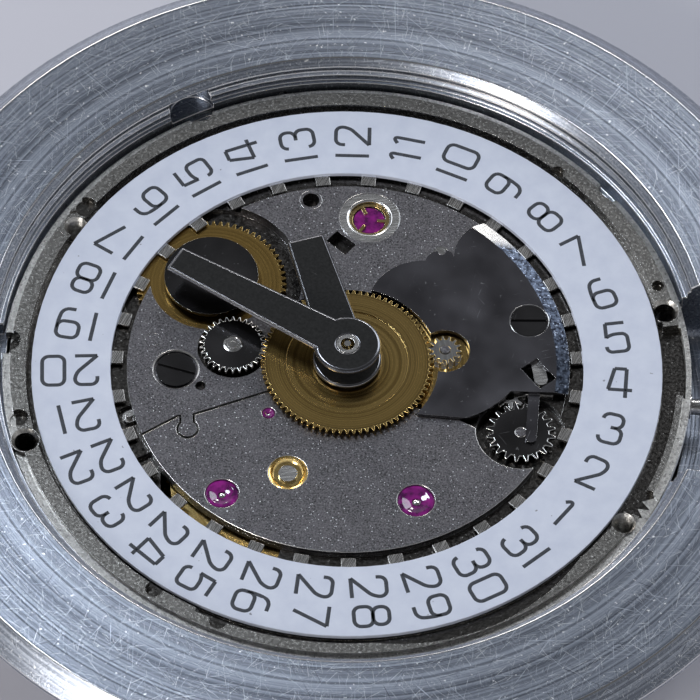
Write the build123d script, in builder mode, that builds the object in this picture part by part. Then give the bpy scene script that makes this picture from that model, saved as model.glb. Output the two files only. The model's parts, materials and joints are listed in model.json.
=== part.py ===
from math import atan2, cos, degrees, hypot, pi, radians, sin, sqrt
import os

from build123d import *

os.makedirs("parts", exist_ok=True)

# Automatic watch movement, dial side up, in its holder ring. Millimetres.
# The origin is the centre axis at the dial seat. +X points to the winding stem, at 3 o'clock.


def polar(distance, angle, start=(0, 0)):
    """A place at a distance and an angle in degrees from a start place."""
    return (start[0] + distance * cos(radians(angle)), start[1] + distance * sin(radians(angle)))


def gap_between(first, second):
    return hypot(second[0] - first[0], second[1] - first[1])


def angle_between(first, second):
    return degrees(atan2(second[1] - first[1], second[0] - first[0]))


def meet(first, first_reach, second, second_reach, side):
    """The place that lies at given reaches from two others, on the side given by +1 or -1."""
    span = gap_between(first, second)
    along = (first_reach**2 - second_reach**2 + span**2) / (2 * span)
    across = sqrt(first_reach**2 - along**2)
    heading = angle_between(first, second)
    return polar(across, heading + side * 90, polar(along, heading, first))


# Fits and cuts
running_gap = 0.015
fit_gap = 0.02
plate_gap = 0.06
overrun = 0.5

# Tooth form, as shares of the module and of the tooth pitch
addendum_share = 0.92
dedendum_share = 1.15
root_half_share = 0.32
tip_half_share = 0.13

# Mainplate: rim, casing cylinder and levels below the dial seat
rim_radius = 13.0
rim_thickness = 0.55
casing_radius = 12.8
mainplate_depth = 1.70
disc_recess_radius = 12.12
disc_recess_depth = 0.40
land_radius = 8.3
lug_channel_radius = 9.1
lug_channel_depth = 0.46
pocket_depth = 0.62
foot_hole_radius = 0.40
left_foot_place = (-11.66, -4.57)
right_foot_place = (11.80, 3.56)
casing_hole_radius = 0.45
upper_casing_place = (-10.91, 5.37)
lower_casing_place = (10.82, -6.02)
foot_boss_radius = 0.55
foot_cone_radius = 0.52
foot_cone_depth = 0.14
casing_seat_radius = 0.66
casing_seat_depth = 0.10
rim_step_radius = 12.70
rim_step_depth = 0.22
rim_channel_depth = 0.45
rim_channels = ((12.45, -27, 13.5), (12.80, -1, 13.5), (12.28, -112, -75))
crescent_radius = 7.96
crescent_offset = 4.70
crescent_angle = -62
rim_pit_depth = 0.30
rim_pits = (
    ((-6.17, -10.59), 0.33),
    ((-3.70, -11.73), 0.33),
    ((7.29, 9.62), 0.30),
    ((-12.00, -3.60), 0.36),
    ((-10.62, 6.28), 0.42),
    ((11.47, 4.68), 0.24),
    ((11.62, -4.92), 0.36),
    ((11.40, -5.32), 0.36),
)
side_notch_place = (-12.85, -0.15)
side_notch_radius = 0.48
rim_notch_radius = 0.50
rim_notch_distance = 13.1
rim_notch_angles = (44, 121)

# Cover plates on the dial side
cover_drop = 0.12
cover_thickness = 0.22
cover_bore_radius = 1.75
seam_places = ((-8.40, -4.57), (-6.15, -2.85), (-5.55, -2.71), (-0.95, -0.47))
seam_far = 24.0
seam_heading = -62
seam_lobe_place = (-5.69, -3.42)
seam_lobe_radius = 0.34
seam_neck_place = (-5.82, -2.55)
seam_neck_width = 0.42
seam_gap = 0.08
driver_cover_start = 150
driver_cover_end = 225
calendar_cover_start = 190
upper_land_start = 50
upper_land_end = 140
calendar_cover_end = 335
driver_window_radius = 2.35
middle_window_radius = 1.34

locating_pin_place = (-7.43, 0.47)
locating_pin_radius = 0.28
upper_hole_place = (-2.06, 7.48)
upper_hole_radius = 0.33
square_hole_place = (-0.72, 5.60)
square_hole_size = (0.98, 0.62)
square_hole_angle = -36
large_jewel_places = ((-4.12, -6.14), (3.08, -5.76))
large_jewel_radii = (0.63, 0.70)
small_jewel_place = (-2.74, -2.42)
small_jewel_radius = 0.25
jewel_hole_radius = 0.10
jewel_drop = 0.04
bush_radius = 0.74
edge_window_start = 212
edge_window_end = 258
left_screw_place = (-6.41, -0.80)
left_screw_radius = 0.75
left_screw_seat = 0.88
right_screw_radius = 0.70
cover_screw_head = 0.13
left_slot_angle = -12
right_slot_angle = 5

# Polished cover over the setting works
setting_cover_radius = 8.4
pin_window_place = (7.21, 0.21)
pin_window_size = (1.15, 0.78)
pin_window_angle = -47
setting_cover_bevel_width = 0.50
setting_cover_thickness = 0.17
setting_cover_bevel = 0.12
hour_clearing_radius = 3.45
pinion_window_radius = 0.95

# Date disc and its jumper
date_outer_radius = 11.9
date_inner_radius = 8.92
date_thickness = 0.20
lug_count = 31
lug_inner_radius = 8.47
lug_width = 0.55
lug_drop = 0.12
lug_height = 0.12
lug_phase = 8.3
jumper_gap_index = 16
jumper_pivot_angle = 195
jumper_pivot_distance = 5.6
jumper_width = 0.50
jumper_nose_radius = 0.14
jumper_thickness = 0.14

# Holder ring
ring_top = 1.03
ring_bore_radius = 13.66
ring_face_radius = 17.33
ring_outer_radius = 18.17
ring_chamfer_drop = 0.69
ring_land = 0.16
ring_skirt_radius = 14.3
ring_skirt_depth = 5.4
ring_seat_radius = 13.1
ring_throat_radius = 12.9
ring_inner_chamfer = 0.28
ring_groove_depth = 0.16
ring_groove_width = 0.14
ring_groove_drop = 0.62
ring_slot_width = 8.3
ring_slot_corner = 0.6
ring_slot_floor = 2.3
ring_notch_radius = 0.45
ring_pocket_angle = 122.4
ring_pocket_radius = 0.88
ring_pocket_floor = -0.10

# Motion work and date drive
cannon_teeth = 20
minute_teeth = 42
minute_pinion_teeth = 14
hour_teeth = 80
middle_teeth = 30
middle_pinion_teeth = 12
date_drive_teeth = 64
minute_distance = 3.738
minute_angle = 13.8
middle_angle = 175.3
date_drive_place = (-5.50, 3.47)
motion_thickness = 0.16
motion_top = -0.24
hour_bottom = -0.02
hour_thickness = 0.18
hour_pipe_radius = 0.72
hour_bore_radius = 0.47
hour_dish_radius = 2.3
hour_dish_depth = 0.06
minute_pinion_top = 0.12
stud_radius = 0.18
stud_rise = 0.04
cannon_tube_radius = 0.42
cannon_bore_radius = 0.27
date_drive_thickness = 0.18
date_disc_radius = 1.79
date_disc_thickness = 0.16
date_disc_bottom = -0.08
date_pocket_gap = 0.60
date_hub_radius = 0.55
finger_reach = 1.84
finger_width = 0.50
finger_angle = 147.7

# Hands
hour_hand_length = 5.72
hour_hand_root = 1.76
hour_hand_tip = 1.44
hour_hand_angle = 111.4
hour_hand_bottom = 0.24
hour_hand_thickness = 0.18
hour_hub_radius = 1.30
minute_hand_length = 7.64
minute_hand_root = 1.62
minute_hand_tip = 1.12
minute_hand_angle = 154.1
minute_hand_bottom = 1.13
minute_hand_thickness = 0.20
minute_hub_radius = 1.26
minute_collar_radius = 0.85
minute_collar_height = 0.30
hand_bevel = 0.07

# Winding and setting works
stem_depth = 1.05
stem_radius = 0.40
stem_length_out = 13.75
stem_bearing_radius = 0.47
stem_bearing_start = 9.00
stem_thread_radius = 0.30
stem_thread_length = 0.70
stem_groove_radius = 0.25
stem_neck_radius = 0.28
stem_square = 0.42
stem_pilot_radius = 0.18
stem_pilot_start = 2.40
stem_pull = 1.00
pinion_tip_radius = 0.62
pinion_teeth = 12
winding_pinion_start = 5.95
winding_pinion_length = 0.85
sliding_pinion_length = 1.40
sliding_groove_radius = 0.36
sliding_groove_width = 0.26
setting_screw_place = (6.70, 2.57)
setting_pin_place = (7.33, 0.07)
setting_pin_radius = 0.11
yoke_slot_gap = 0.10
yoke_drop = 0.18
jumper_slot_gap = 0.22
setting_lever_width = 0.50
setting_lever_thickness = 0.09
groove_width = 0.30
setting_middle_teeth = 8
setting_middle_angle = -31.8
setting_teeth = 20
setting_angle = -71
setting_pocket_radius = 1.70
tongue_start = (7.12, -0.45)
tongue_end = (7.13, -2.57)
tongue_width = 0.42
tongue_thickness = 0.10
yoke_pivot_place = (5.75, 3.60)
yoke_width = 0.42
yoke_thickness = 0.16
yoke_tip_width = 0.20

# Going train, below the mainplate on the train side
barrel_teeth = 84
centre_pinion_teeth = 14
centre_teeth = 80
third_pinion_teeth = 10
third_teeth = 75
seconds_pinion_teeth = 10
seconds_teeth = 84
escape_pinion_teeth = 7
escape_teeth = 20
barrel_place = (-1.77, -4.99)
third_place = (-2.90, 0.10)
escape_place = (-1.43, 2.477)
balance_place = (0.25, 6.87)
wheel_thickness = 0.12
wheel_hub_radius = 0.45
arbor_radius = 0.15
pivot_radius = 0.09
pivot_passage_radius = 0.18
spoke_count = 5
spoke_width = 0.45
jewel_radius = 0.48
jewel_thickness = 0.24
barrel_top = -0.70
barrel_bottom = -2.10
barrel_tooth_height = 0.25
barrel_wall = 0.16
barrel_lid = 0.14
barrel_gap = 0.12
barrel_arbor_radius = 0.55
barrel_pivot_radius = 0.35
spring_turns = 9
spring_strip = 0.09
centre_wheel_top = -2.20
third_wheel_top = -2.43
seconds_wheel_top = -2.66
centre_tube_radius = 0.24
centre_tube_bore = 0.145
seconds_pivot_radius = 0.125
seconds_pivot_top = 1.36
escape_wheel_top = -1.90
escape_tip_radius = 1.95
escape_root_share = 0.80
escape_corner_shares = ((0.0, 0.80), (0.42, 0.97), (0.62, 1.0), (0.46, 0.82))
pallet_distance = 2.30
pallet_arm_width = 0.26
stone_width = 0.16
stone_length = 0.42
fork_notch_width = 0.22
pallet_jewel_radius = 0.27
lever_width = 0.52
impulse_radius = 0.62
impulse_pin_radius = 0.08
roller_radius = 0.85
roller_top = -2.10
roller_thickness = 0.14
balance_radius = 3.85
balance_rim_width = 0.42
balance_top = -2.88
balance_height = 0.22
balance_arm_width = 0.40
balance_arm_count = 3
balance_arm_angle = 90
balance_hub_radius = 0.60
hairspring_inner = 0.55
hairspring_turns = 12
hairspring_pitch = 0.13
hairspring_strip = 0.035
hairspring_height = 0.12
hairspring_top = -3.20
hairspring_stud_radius = 0.14
shock_radius = 1.15
shock_seat_radius = 0.78
shock_height = 0.62
shock_floor = 0.12
shock_floor_hole = 0.20
shock_jewel_radius = 0.60
shock_jewel_thickness = 0.16
shock_spring_thickness = 0.05
shock_spring_width = 0.12
shock_spring_arms = 3
shock_arm_length = 0.42
shock_outer_drop = 0.02
staff_radius = 0.25
staff_pivot_radius = 0.07
lower_shock_bottom = -4.06

# Bridges
bridge_top = -2.95
bridge_thickness = 0.40
post_radius = 0.70
screw_head_radius = 0.50
screw_head_height = 0.20
screw_shank_radius = 0.24
screw_slot_width = 0.12
screw_slot_depth = 0.08
screw_depth_in_plate = 0.50
train_post_places = ((-8.2, 0.5), (-5.8, 4.9))
train_hull_radii = (1.1, 1.0, 0.75, 0.95, 0.95)
barrel_post_places = ((7.3, -4.4), (3.9, -8.3), (-7.6, -5.6), (8.9, 2.6))
barrel_hull_radii = (1.6, 1.6, 0.9, 0.95, 0.95, 0.95, 0.95)
bridge_seam = 0.12
slot_turn_rate = 20
cock_top = -3.55
cock_thickness = 0.38
cock_post_place = (5.2, 9.3)
cock_setting_radius = 1.55
cock_post_end_radius = 1.45
pallet_bridge_top = -2.40
pallet_bridge_thickness = 0.22
pallet_post_places = ((1.2, 4.15), (-2.55, 5.2))
pallet_bridge_width = 0.90
regulator_thickness = 0.10
regulator_ring_width = 0.36
regulator_arm_width = 0.18
regulator_length = 3.2
regulator_angle = 330

# Winding wheels on the bridges
winding_module = 0.15
crown_lower_teeth = 40
crown_upper_teeth = 26
winding_middle_teeth = 26
ratchet_teeth = 44
crown_height = 0.42
crown_tooth_depth = 0.14
crown_arbor_radius = 0.45
crown_top = -1.60
winding_top = -3.40
winding_thickness = 0.20
click_distance = 4.45
click_angle = 300
click_length = 1.05
click_width = 0.36

# Automatic winding
auto_module = 0.10
rotor_gear_teeth = 40
reverser_teeth = 36
reversing_pinion_teeth = 10
reduction_teeth = 36
reduction_pinion_teeth = 8
reduction_angle = 150
reversing_angle = 120
reduction_top = -3.68
reduction_thickness = 0.14
auto_bridge_top = -3.90
auto_bridge_thickness = 0.18
reverser_top = -4.12
reverser_thickness = 0.14
auto_hull_radii = (1.6, 0.8, 0.8, 0.8, 0.8, 0.8, 0.8)
auto_post_places = ((-6.9, 2.6), (5.6, -6.2), (7.4, 1.6))
auto_screw_head = 0.10
hub_radius = 0.95
ball_count = 10
race_radius = 1.33
race_wall = 0.25
rotor_radius = 12.45
rotor_top = -4.30
rotor_thickness = 0.18
rotor_weight_radius = 9.6
rotor_weight_top = -4.05
rotor_weight_bottom = -4.60
rotor_boss_radius = 2.6
rotor_start_angle = 180
rotor_end_angle = 360
rotor_window_inner = 3.6
rotor_window_outer = 8.6
rotor_window_gap_angle = 12

# Levels worked out from the sizes above
cover_top = -cover_drop
cover_bottom = cover_top - cover_thickness
plate_bottom = -mainplate_depth
pocket_floor = -pocket_depth
date_top = -cover_drop
date_bottom = date_top - date_thickness
lug_top = date_top - lug_drop
lug_bottom = lug_top - lug_height
motion_bottom = motion_top - motion_thickness
hour_top = hour_bottom + hour_thickness
setting_cover_top = cover_top + setting_cover_thickness
date_drive_bottom = pocket_floor + fit_gap * 2
date_drive_top = date_drive_bottom + date_drive_thickness
bridge_bottom = bridge_top - bridge_thickness
cock_bottom = cock_top - cock_thickness
winding_bottom = winding_top - winding_thickness
reduction_bottom = reduction_top - reduction_thickness
auto_bridge_bottom = auto_bridge_top - auto_bridge_thickness
reverser_bottom = reverser_top - reverser_thickness
rotor_bottom = rotor_top - rotor_thickness
stud_top = minute_pinion_top + stud_rise

# Places and modules worked out from the gear pairs
centre = (0, 0)
minute_place = polar(minute_distance, minute_angle)
motion_module = 2 * minute_distance / (cannon_teeth + minute_teeth)
hour_module = 2 * minute_distance / (minute_pinion_teeth + hour_teeth)
middle_place = polar(hour_module * (hour_teeth + middle_teeth) / 2, middle_angle)
date_module = 2 * gap_between(middle_place, date_drive_place) / (middle_pinion_teeth + date_drive_teeth)
setting_middle_place = polar(
    motion_module * (minute_teeth + setting_middle_teeth) / 2, setting_middle_angle, minute_place
)
setting_place = polar(
    motion_module * (setting_middle_teeth + setting_teeth) / 2, setting_angle, setting_middle_place
)
barrel_module = 2 * gap_between(centre, barrel_place) / (barrel_teeth + centre_pinion_teeth)
barrel_tip_radius = barrel_module * (barrel_teeth / 2 + addendum_share)
barrel_drum_radius = barrel_module * (barrel_teeth / 2 - dedendum_share) - fit_gap
centre_module = 2 * gap_between(centre, third_place) / (centre_teeth + third_pinion_teeth)
third_module = 2 * gap_between(centre, third_place) / (third_teeth + seconds_pinion_teeth)
seconds_module = 2 * gap_between(centre, escape_place) / (seconds_teeth + escape_pinion_teeth)
pinion_module = pinion_tip_radius / (pinion_teeth / 2 + addendum_share)
crown_reach = pinion_module * crown_lower_teeth / 2
crown_place = (winding_pinion_start + winding_pinion_length / 2 - crown_reach, 0)
winding_middle_place = meet(
    crown_place,
    winding_module * (crown_upper_teeth + winding_middle_teeth) / 2,
    barrel_place,
    winding_module * (winding_middle_teeth + ratchet_teeth) / 2,
    1,
)
reduction_place = polar(
    winding_module * (ratchet_teeth + reduction_pinion_teeth) / 2, reduction_angle, barrel_place
)
second_reverser_place = polar(
    auto_module * (reduction_teeth + reversing_pinion_teeth) / 2, reversing_angle, reduction_place
)
first_reverser_place = meet(
    centre,
    auto_module * (rotor_gear_teeth + reverser_teeth) / 2,
    second_reverser_place,
    auto_module * reverser_teeth,
    -1,
)
pallet_place = polar(pallet_distance, angle_between(escape_place, balance_place), escape_place)
ring_bottom = -ring_skirt_depth


def disc_face(place, radius, level):
    with BuildSketch(Plane.XY.offset(level)) as profile:
        with Locations(place):
            Circle(radius)
    return profile.sketch


def add_disc(place, radius, low, high, mode=Mode.ADD):
    extrude(disc_face(place, radius, low), amount=high - low, dir=(0, 0, 1), mode=mode)


def cut_disc(place, radius, low, high):
    add_disc(place, radius, low, high, Mode.SUBTRACT)


def bar_face(start, end, width, level):
    middle = ((start[0] + end[0]) / 2, (start[1] + end[1]) / 2)
    with BuildSketch(Plane.XY.offset(level)) as profile:
        with Locations(Location((middle[0], middle[1], 0), (0, 0, angle_between(start, end)))):
            SlotCenterToCenter(gap_between(start, end), width)
    return profile.sketch


def add_bar(start, end, width, low, high, mode=Mode.ADD):
    """A round-ended bar between two places."""
    extrude(bar_face(start, end, width, low), amount=high - low, dir=(0, 0, 1), mode=mode)


def sector_face(radius, start_angle, end_angle, level):
    """A slice of a disc about the centre axis, counter-clockwise from start to end."""
    mid_angle = (start_angle + end_angle) / 2
    with BuildSketch(Plane.XY.offset(level)) as profile:
        with BuildLine():
            first = polar(radius, start_angle)
            last = polar(radius, end_angle)
            Line(centre, first)
            ThreePointArc(first, polar(radius, mid_angle), last)
            Line(last, centre)
        make_face()
    return profile.sketch


def cut_channel(inner, outer, start_angle, end_angle, floor):
    """A curved channel in the rim, open at the top."""
    with BuildSketch(Plane.XY.offset(floor)) as channel:
        add(sector_face(outer, start_angle, end_angle, floor))
        Circle(inner, mode=Mode.SUBTRACT)
    extrude(channel.sketch, amount=overrun - floor, dir=(0, 0, 1), mode=Mode.SUBTRACT)


def add_sector(radius, start_angle, end_angle, low, high, mode=Mode.ADD):
    extrude(sector_face(radius, start_angle, end_angle, low), amount=high - low, dir=(0, 0, 1), mode=mode)


def tooth_points(teeth, module):
    pitch = 2 * pi / teeth
    root = module * (teeth / 2 - dedendum_share)
    tip = module * (teeth / 2 + addendum_share)
    corners = (
        (-root_half_share, root), (-tip_half_share, tip), (tip_half_share, tip), (root_half_share, root)
    )
    return [
        (radius * cos(pitch * (tooth + share)), radius * sin(pitch * (tooth + share)))
        for tooth in range(teeth)
        for share, radius in corners
    ]


def add_gear(place, teeth, module, turn, low, high):
    """A toothed disc with a tooth at the angle given by turn."""
    with BuildSketch(Plane.XY.offset(low)) as profile:
        with Locations(Location((place[0], place[1], 0), (0, 0, turn))):
            with BuildLine(mode=Mode.PRIVATE) as outline:
                Polyline(tooth_points(teeth, module), close=True)
            add(make_face(outline.edges(), mode=Mode.PRIVATE))
    extrude(profile.sketch, amount=high - low, dir=(0, 0, 1))


def mesh_turn(place, teeth, turn, other_place, other_teeth):
    """The turn of the other wheel whose tooth gap faces the first wheel's tooth."""
    heading = angle_between(place, other_place)
    phase = (heading - turn) / (360 / teeth)
    return heading + 180 - (360 / other_teeth) * (0.5 - phase)


def cut_spokes(place, inner, outer, count, spoke_width, low, high):
    """Cuts the windows between a wheel's spokes."""
    with BuildSketch(Plane.XY.offset(low)) as windows:
        with Locations(place):
            Circle(outer)
            Circle(inner, mode=Mode.SUBTRACT)
            with PolarLocations(0, count):
                with Locations((outer / 2, 0)):
                    Rectangle(outer, spoke_width, mode=Mode.SUBTRACT)
    extrude(windows.sketch, amount=high - low, dir=(0, 0, 1), mode=Mode.SUBTRACT)


def add_arbor(place, low, high):
    """A wheel's arbor with a thin pivot at each end, which runs in a jewel."""
    add_disc(place, arbor_radius, low + jewel_thickness, high - jewel_thickness)
    add_disc(place, pivot_radius, low + fit_gap, high - fit_gap)


def spiral_face(place, inner, pitch, turns, strip, level):
    """A flat spiral strip of half-turn arcs about two centres half a pitch apart."""
    halves = 2 * turns
    rise = pitch / 2

    with BuildSketch(Plane.XY.offset(level)) as profile:
        with Locations(place):
            with BuildLine(mode=Mode.PRIVATE) as outline:
                for offset in (0, strip):
                    x = inner + offset
                    for half in range(halves):
                        side = 1 if half % 2 == 0 else -1
                        radius = inner + offset + half * rise + rise / 2
                        middle = x - side * radius
                        far = middle - side * radius
                        ThreePointArc((x, 0), (middle, side * radius), (far, 0))
                        x = far
                    if offset == 0:
                        inner_end = x
                Line((inner, 0), (inner + strip, 0))
                Line((inner_end, 0), (x, 0))
            add(make_face(outline.edges(), mode=Mode.PRIVATE))
    return profile.sketch


def finish(builder, name):
    builder.part.label = name
    export_step(builder.part, "parts/" + name + ".step")


# Holder ring: flange, chamfers and skirt turned in one piece, with a slot for the stem
with BuildPart() as casing_ring:
    chamfer_foot = ring_top - ring_chamfer_drop
    seat_level = -rim_thickness
    with BuildSketch(Plane.XZ):
        with BuildLine():
            Polyline(
                [
                    (ring_throat_radius, seat_level),
                    (ring_seat_radius, seat_level),
                    (ring_seat_radius, ring_top - ring_groove_drop - ring_groove_width * 2),
                    (
                        ring_seat_radius + ring_groove_depth,
                        ring_top - ring_groove_drop - ring_groove_width * 2,
                    ),
                    (ring_seat_radius + ring_groove_depth, ring_top - ring_groove_drop),
                    (ring_bore_radius - ring_inner_chamfer, ring_top - ring_groove_drop + ring_groove_width),
                    (ring_bore_radius - ring_inner_chamfer, ring_top - ring_inner_chamfer),
                    (ring_bore_radius, ring_top),
                    (ring_face_radius, ring_top),
                    (ring_outer_radius, chamfer_foot),
                    (ring_outer_radius, chamfer_foot - ring_land),
                    (ring_skirt_radius, chamfer_foot - ring_land),
                    (ring_skirt_radius, ring_bottom),
                    (ring_throat_radius, ring_bottom),
                ],
                close=True,
            )
        make_face()
    revolve(axis=Axis.Z)
    slot_reach = ring_outer_radius + overrun
    with BuildSketch(Plane.YZ.offset(ring_throat_radius / 2)):
        with Locations((0, (ring_top + overrun - ring_slot_floor) / 2)):
            RectangleRounded(ring_slot_width, ring_top + overrun + ring_slot_floor, ring_slot_corner)
        with Locations((0, ring_top + overrun / 2)):
            Rectangle(ring_slot_width, overrun * 2)
    extrude(amount=slot_reach - ring_throat_radius / 2, mode=Mode.SUBTRACT)
    cut_disc((-ring_seat_radius, 0), ring_notch_radius, seat_level, ring_top + overrun)
    # undercut pocket of a casing clamp
    pocket_place = polar(ring_seat_radius, ring_pocket_angle)
    cut_disc(pocket_place, ring_pocket_radius, ring_pocket_floor, ring_top - ring_inner_chamfer)
finish(casing_ring, "casing_ring")

# Mainplate
setting_cover_shares = (
    (0.074, 0.405),
    (0.173, 0.545),
    (0.305, 0.592),
    (0.325, 0.632),
    (0.372, 0.652),
    (0.418, 0.648),
    (0.432, 0.615),
    (0.455, 0.735),
    (0.554, 0.832),
)
setting_cover_low_shares = (
    (0.742, -0.081),
    (0.668, -0.168),
    (0.556, -0.243),
    (0.338, -0.243),
)
setting_cover_end_angle = -3.8


def setting_cover_face(level, gap=0):
    """Outline of the polished cover: arcs on the upper left, the outer arc, and the stepped lower edge."""
    radius = setting_cover_radius + gap
    high = [(x * radius, y * radius) for x, y in setting_cover_shares]
    low = [(x * radius, y * radius) for x, y in setting_cover_low_shares]
    start_angle = angle_between(centre, high[-1])
    corner = polar(radius, setting_cover_end_angle)
    first_corner = polar(radius, start_angle)
    middle_angle = (start_angle + setting_cover_end_angle) / 2
    with BuildSketch(Plane.XY.offset(level)) as profile:
        with BuildLine():
            ThreePointArc(high[0], high[1], high[2])
            ThreePointArc(high[2], high[3], high[4])
            ThreePointArc(high[4], high[5], high[6])
            ThreePointArc(high[6], high[7], first_corner)
            ThreePointArc(first_corner, polar(radius, middle_angle), corner)
            Line(corner, low[0])
            ThreePointArc(low[0], low[1], low[2])
            Line(low[2], low[3])
            Line(low[3], centre)
            Line(centre, high[0])
        make_face()
        Circle(hour_clearing_radius - gap, mode=Mode.SUBTRACT)
        with Locations(minute_place):
            Circle(pinion_window_radius - gap, mode=Mode.SUBTRACT)
    return profile.sketch


def post_screw_cuts(places, low, high):
    for place in places:
        cut_disc(place, screw_shank_radius + fit_gap, low, high)


stem_level = -stem_depth
upper_shock_top = cover_top - shock_outer_drop
upper_shock_inner = upper_shock_top - shock_height
lever_post_radius = screw_shank_radius + plate_gap
keyless_end = setting_pin_place[0] + setting_lever_width
sliding_pinion_start = winding_pinion_start - sliding_pinion_length - fit_gap
sliding_groove_place = (sliding_pinion_start + sliding_pinion_length / 2, 0)
yoke_tip_place = (sliding_groove_place[0], sliding_groove_radius + yoke_tip_width / 2 + fit_gap)
yoke_top = motion_bottom - yoke_drop
yoke_bottom = yoke_top - yoke_thickness
pivot_top = plate_bottom + jewel_thickness + plate_gap * 2
jumper_pivot_place = polar(jumper_pivot_distance, jumper_pivot_angle)
jumper_angle = lug_phase + (jumper_gap_index + 0.5) * 360 / lug_count
jumper_nose_place = polar(land_radius + jumper_nose_radius + fit_gap, jumper_angle)
jumper_low = pocket_floor + fit_gap
jumper_high = jumper_low + jumper_thickness
minute_reach = motion_module * (minute_teeth / 2 + addendum_share)
cannon_reach = motion_module * (cannon_teeth / 2 + addendum_share)
setting_middle_reach = motion_module * (setting_middle_teeth / 2 + addendum_share)
middle_pinion_reach = date_module * (middle_pinion_teeth / 2 + addendum_share)
date_drive_reach = date_module * (date_drive_teeth / 2 + addendum_share)
date_pocket_radius = date_drive_reach + date_pocket_gap
crown_tip_radius = pinion_module * (crown_lower_teeth / 2 + addendum_share)
tap_top = plate_bottom + screw_depth_in_plate
all_post_places = train_post_places + barrel_post_places + (cock_post_place,)

with BuildPart() as mainplate:
    add_disc(centre, rim_radius, -rim_thickness, 0)
    add_disc(centre, casing_radius, plate_bottom, -rim_thickness)
    # date disc recess, lug channel and the middle land
    cut_disc(centre, disc_recess_radius, cover_bottom, overrun)
    with BuildSketch(Plane.XY.offset(-disc_recess_depth)):
        Circle(disc_recess_radius)
        Circle(land_radius, mode=Mode.SUBTRACT)
    extrude(amount=disc_recess_depth, mode=Mode.SUBTRACT)
    with BuildSketch(Plane.XY.offset(-lug_channel_depth)):
        Circle(lug_channel_radius)
        Circle(land_radius, mode=Mode.SUBTRACT)
    extrude(amount=lug_channel_depth, mode=Mode.SUBTRACT)
    # raised upper land around the balance jewel, level with the cover plates
    add_sector(land_radius, upper_land_start, upper_land_end, cover_bottom, cover_top)
    extrude(
        setting_cover_face(cover_bottom, plate_gap),
        amount=cover_thickness + overrun,
        dir=(0, 0, 1),
        mode=Mode.SUBTRACT,
    )
    cut_disc(centre, hour_clearing_radius, cover_bottom, overrun)
    # pockets for the date drive, motion work and setting works
    cut_disc(date_drive_place, date_pocket_radius, pocket_floor, overrun)
    cut_disc(middle_place, middle_pinion_reach + plate_gap, pocket_floor, overrun)
    cut_disc(centre, cannon_reach + plate_gap, motion_bottom - plate_gap, overrun)
    cut_disc(minute_place, minute_reach + plate_gap, motion_bottom - plate_gap, overrun)
    cut_disc(setting_middle_place, setting_middle_reach + plate_gap, motion_bottom - plate_gap, overrun)
    cut_disc(setting_place, setting_pocket_radius, pocket_floor, overrun)
    for yoke_reach in (yoke_tip_place, (yoke_tip_place[0] - stem_pull / 2, yoke_tip_place[1])):
        add_bar(
            yoke_pivot_place,
            yoke_reach,
            yoke_width + yoke_slot_gap * 2,
            yoke_bottom - plate_gap,
            overrun,
            Mode.SUBTRACT,
        )
    add_bar(
        jumper_pivot_place,
        jumper_nose_place,
        jumper_width + jumper_slot_gap * 2,
        pocket_floor,
        overrun,
        Mode.SUBTRACT,
    )
    # cavity of the winding and sliding pinions, and the stem's bearing and pilot holes
    with BuildSketch(Plane.XY.offset(plate_bottom - overrun)):
        with Locations(((sliding_pinion_start - stem_pull + keyless_end) / 2, 0)):
            Rectangle(keyless_end - sliding_pinion_start + stem_pull, 2 * (pinion_tip_radius + plate_gap))
    extrude(amount=mainplate_depth + overrun * 2, mode=Mode.SUBTRACT)
    with BuildSketch(Plane.YZ.offset(keyless_end - overrun)):
        with Locations((0, stem_level)):
            Circle(stem_radius + fit_gap)
    extrude(amount=rim_radius, mode=Mode.SUBTRACT)
    with BuildSketch(Plane.YZ.offset(stem_bearing_start - plate_gap)):
        with Locations((0, stem_level)):
            Circle(stem_bearing_radius + fit_gap)
    extrude(amount=rim_radius, mode=Mode.SUBTRACT)
    with BuildSketch(Plane.YZ.offset(stem_pilot_start - plate_gap)):
        with Locations((0, stem_level)):
            Circle(stem_pilot_radius + fit_gap)
    extrude(amount=sliding_pinion_start - stem_pilot_start, mode=Mode.SUBTRACT)
    add_bar(
        setting_pin_place,
        (setting_pin_place[0] + stem_pull, setting_pin_place[1] + stem_pull / 2),
        groove_width + plate_gap,
        stem_level + stem_groove_radius,
        overrun,
        Mode.SUBTRACT,
    )
    # openings of the barrel, crown wheel and balance setting
    cut_disc(barrel_place, barrel_tip_radius + barrel_gap, barrel_top + barrel_gap, plate_bottom - overrun)
    cut_disc(crown_place, crown_tip_radius + plate_gap * 2, plate_bottom - overrun, crown_top + plate_gap)
    cut_disc(balance_place, shock_radius, upper_shock_inner, overrun)
    cut_disc(balance_place, staff_radius + plate_gap * 2, plate_bottom - overrun, overrun)
    cut_disc(barrel_place, bush_radius, barrel_top, overrun)
    with BuildSketch(Plane.XY.offset(barrel_top)) as edge_window:
        add(sector_face(date_inner_radius, edge_window_start, edge_window_end, barrel_top))
        Circle(land_radius, mode=Mode.SUBTRACT)
    extrude(edge_window.sketch, amount=-barrel_top, dir=(0, 0, 1), mode=Mode.SUBTRACT)
    # studs of the dial-side wheels, the lever posts and the locating pin
    motion_foot = motion_bottom - plate_gap * 2
    pocket_foot = yoke_bottom - plate_gap
    for stud_place, stud_foot, stud_level in (
        (minute_place, motion_foot, stud_top),
        (middle_place, pocket_foot, hour_top),
        (setting_middle_place, motion_foot, cover_bottom),
        (setting_place, pocket_foot, motion_top),
        (date_drive_place, pocket_foot, date_disc_bottom),
        (jumper_pivot_place, pocket_foot, cover_bottom),
        (yoke_pivot_place, pocket_foot, cover_bottom),
    ):
        add_disc(stud_place, stud_radius, stud_foot, stud_level)
    add_disc(setting_screw_place, lever_post_radius, cover_bottom, cover_top)
    add_disc(locating_pin_place, locating_pin_radius, cover_bottom, cover_top)
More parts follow.
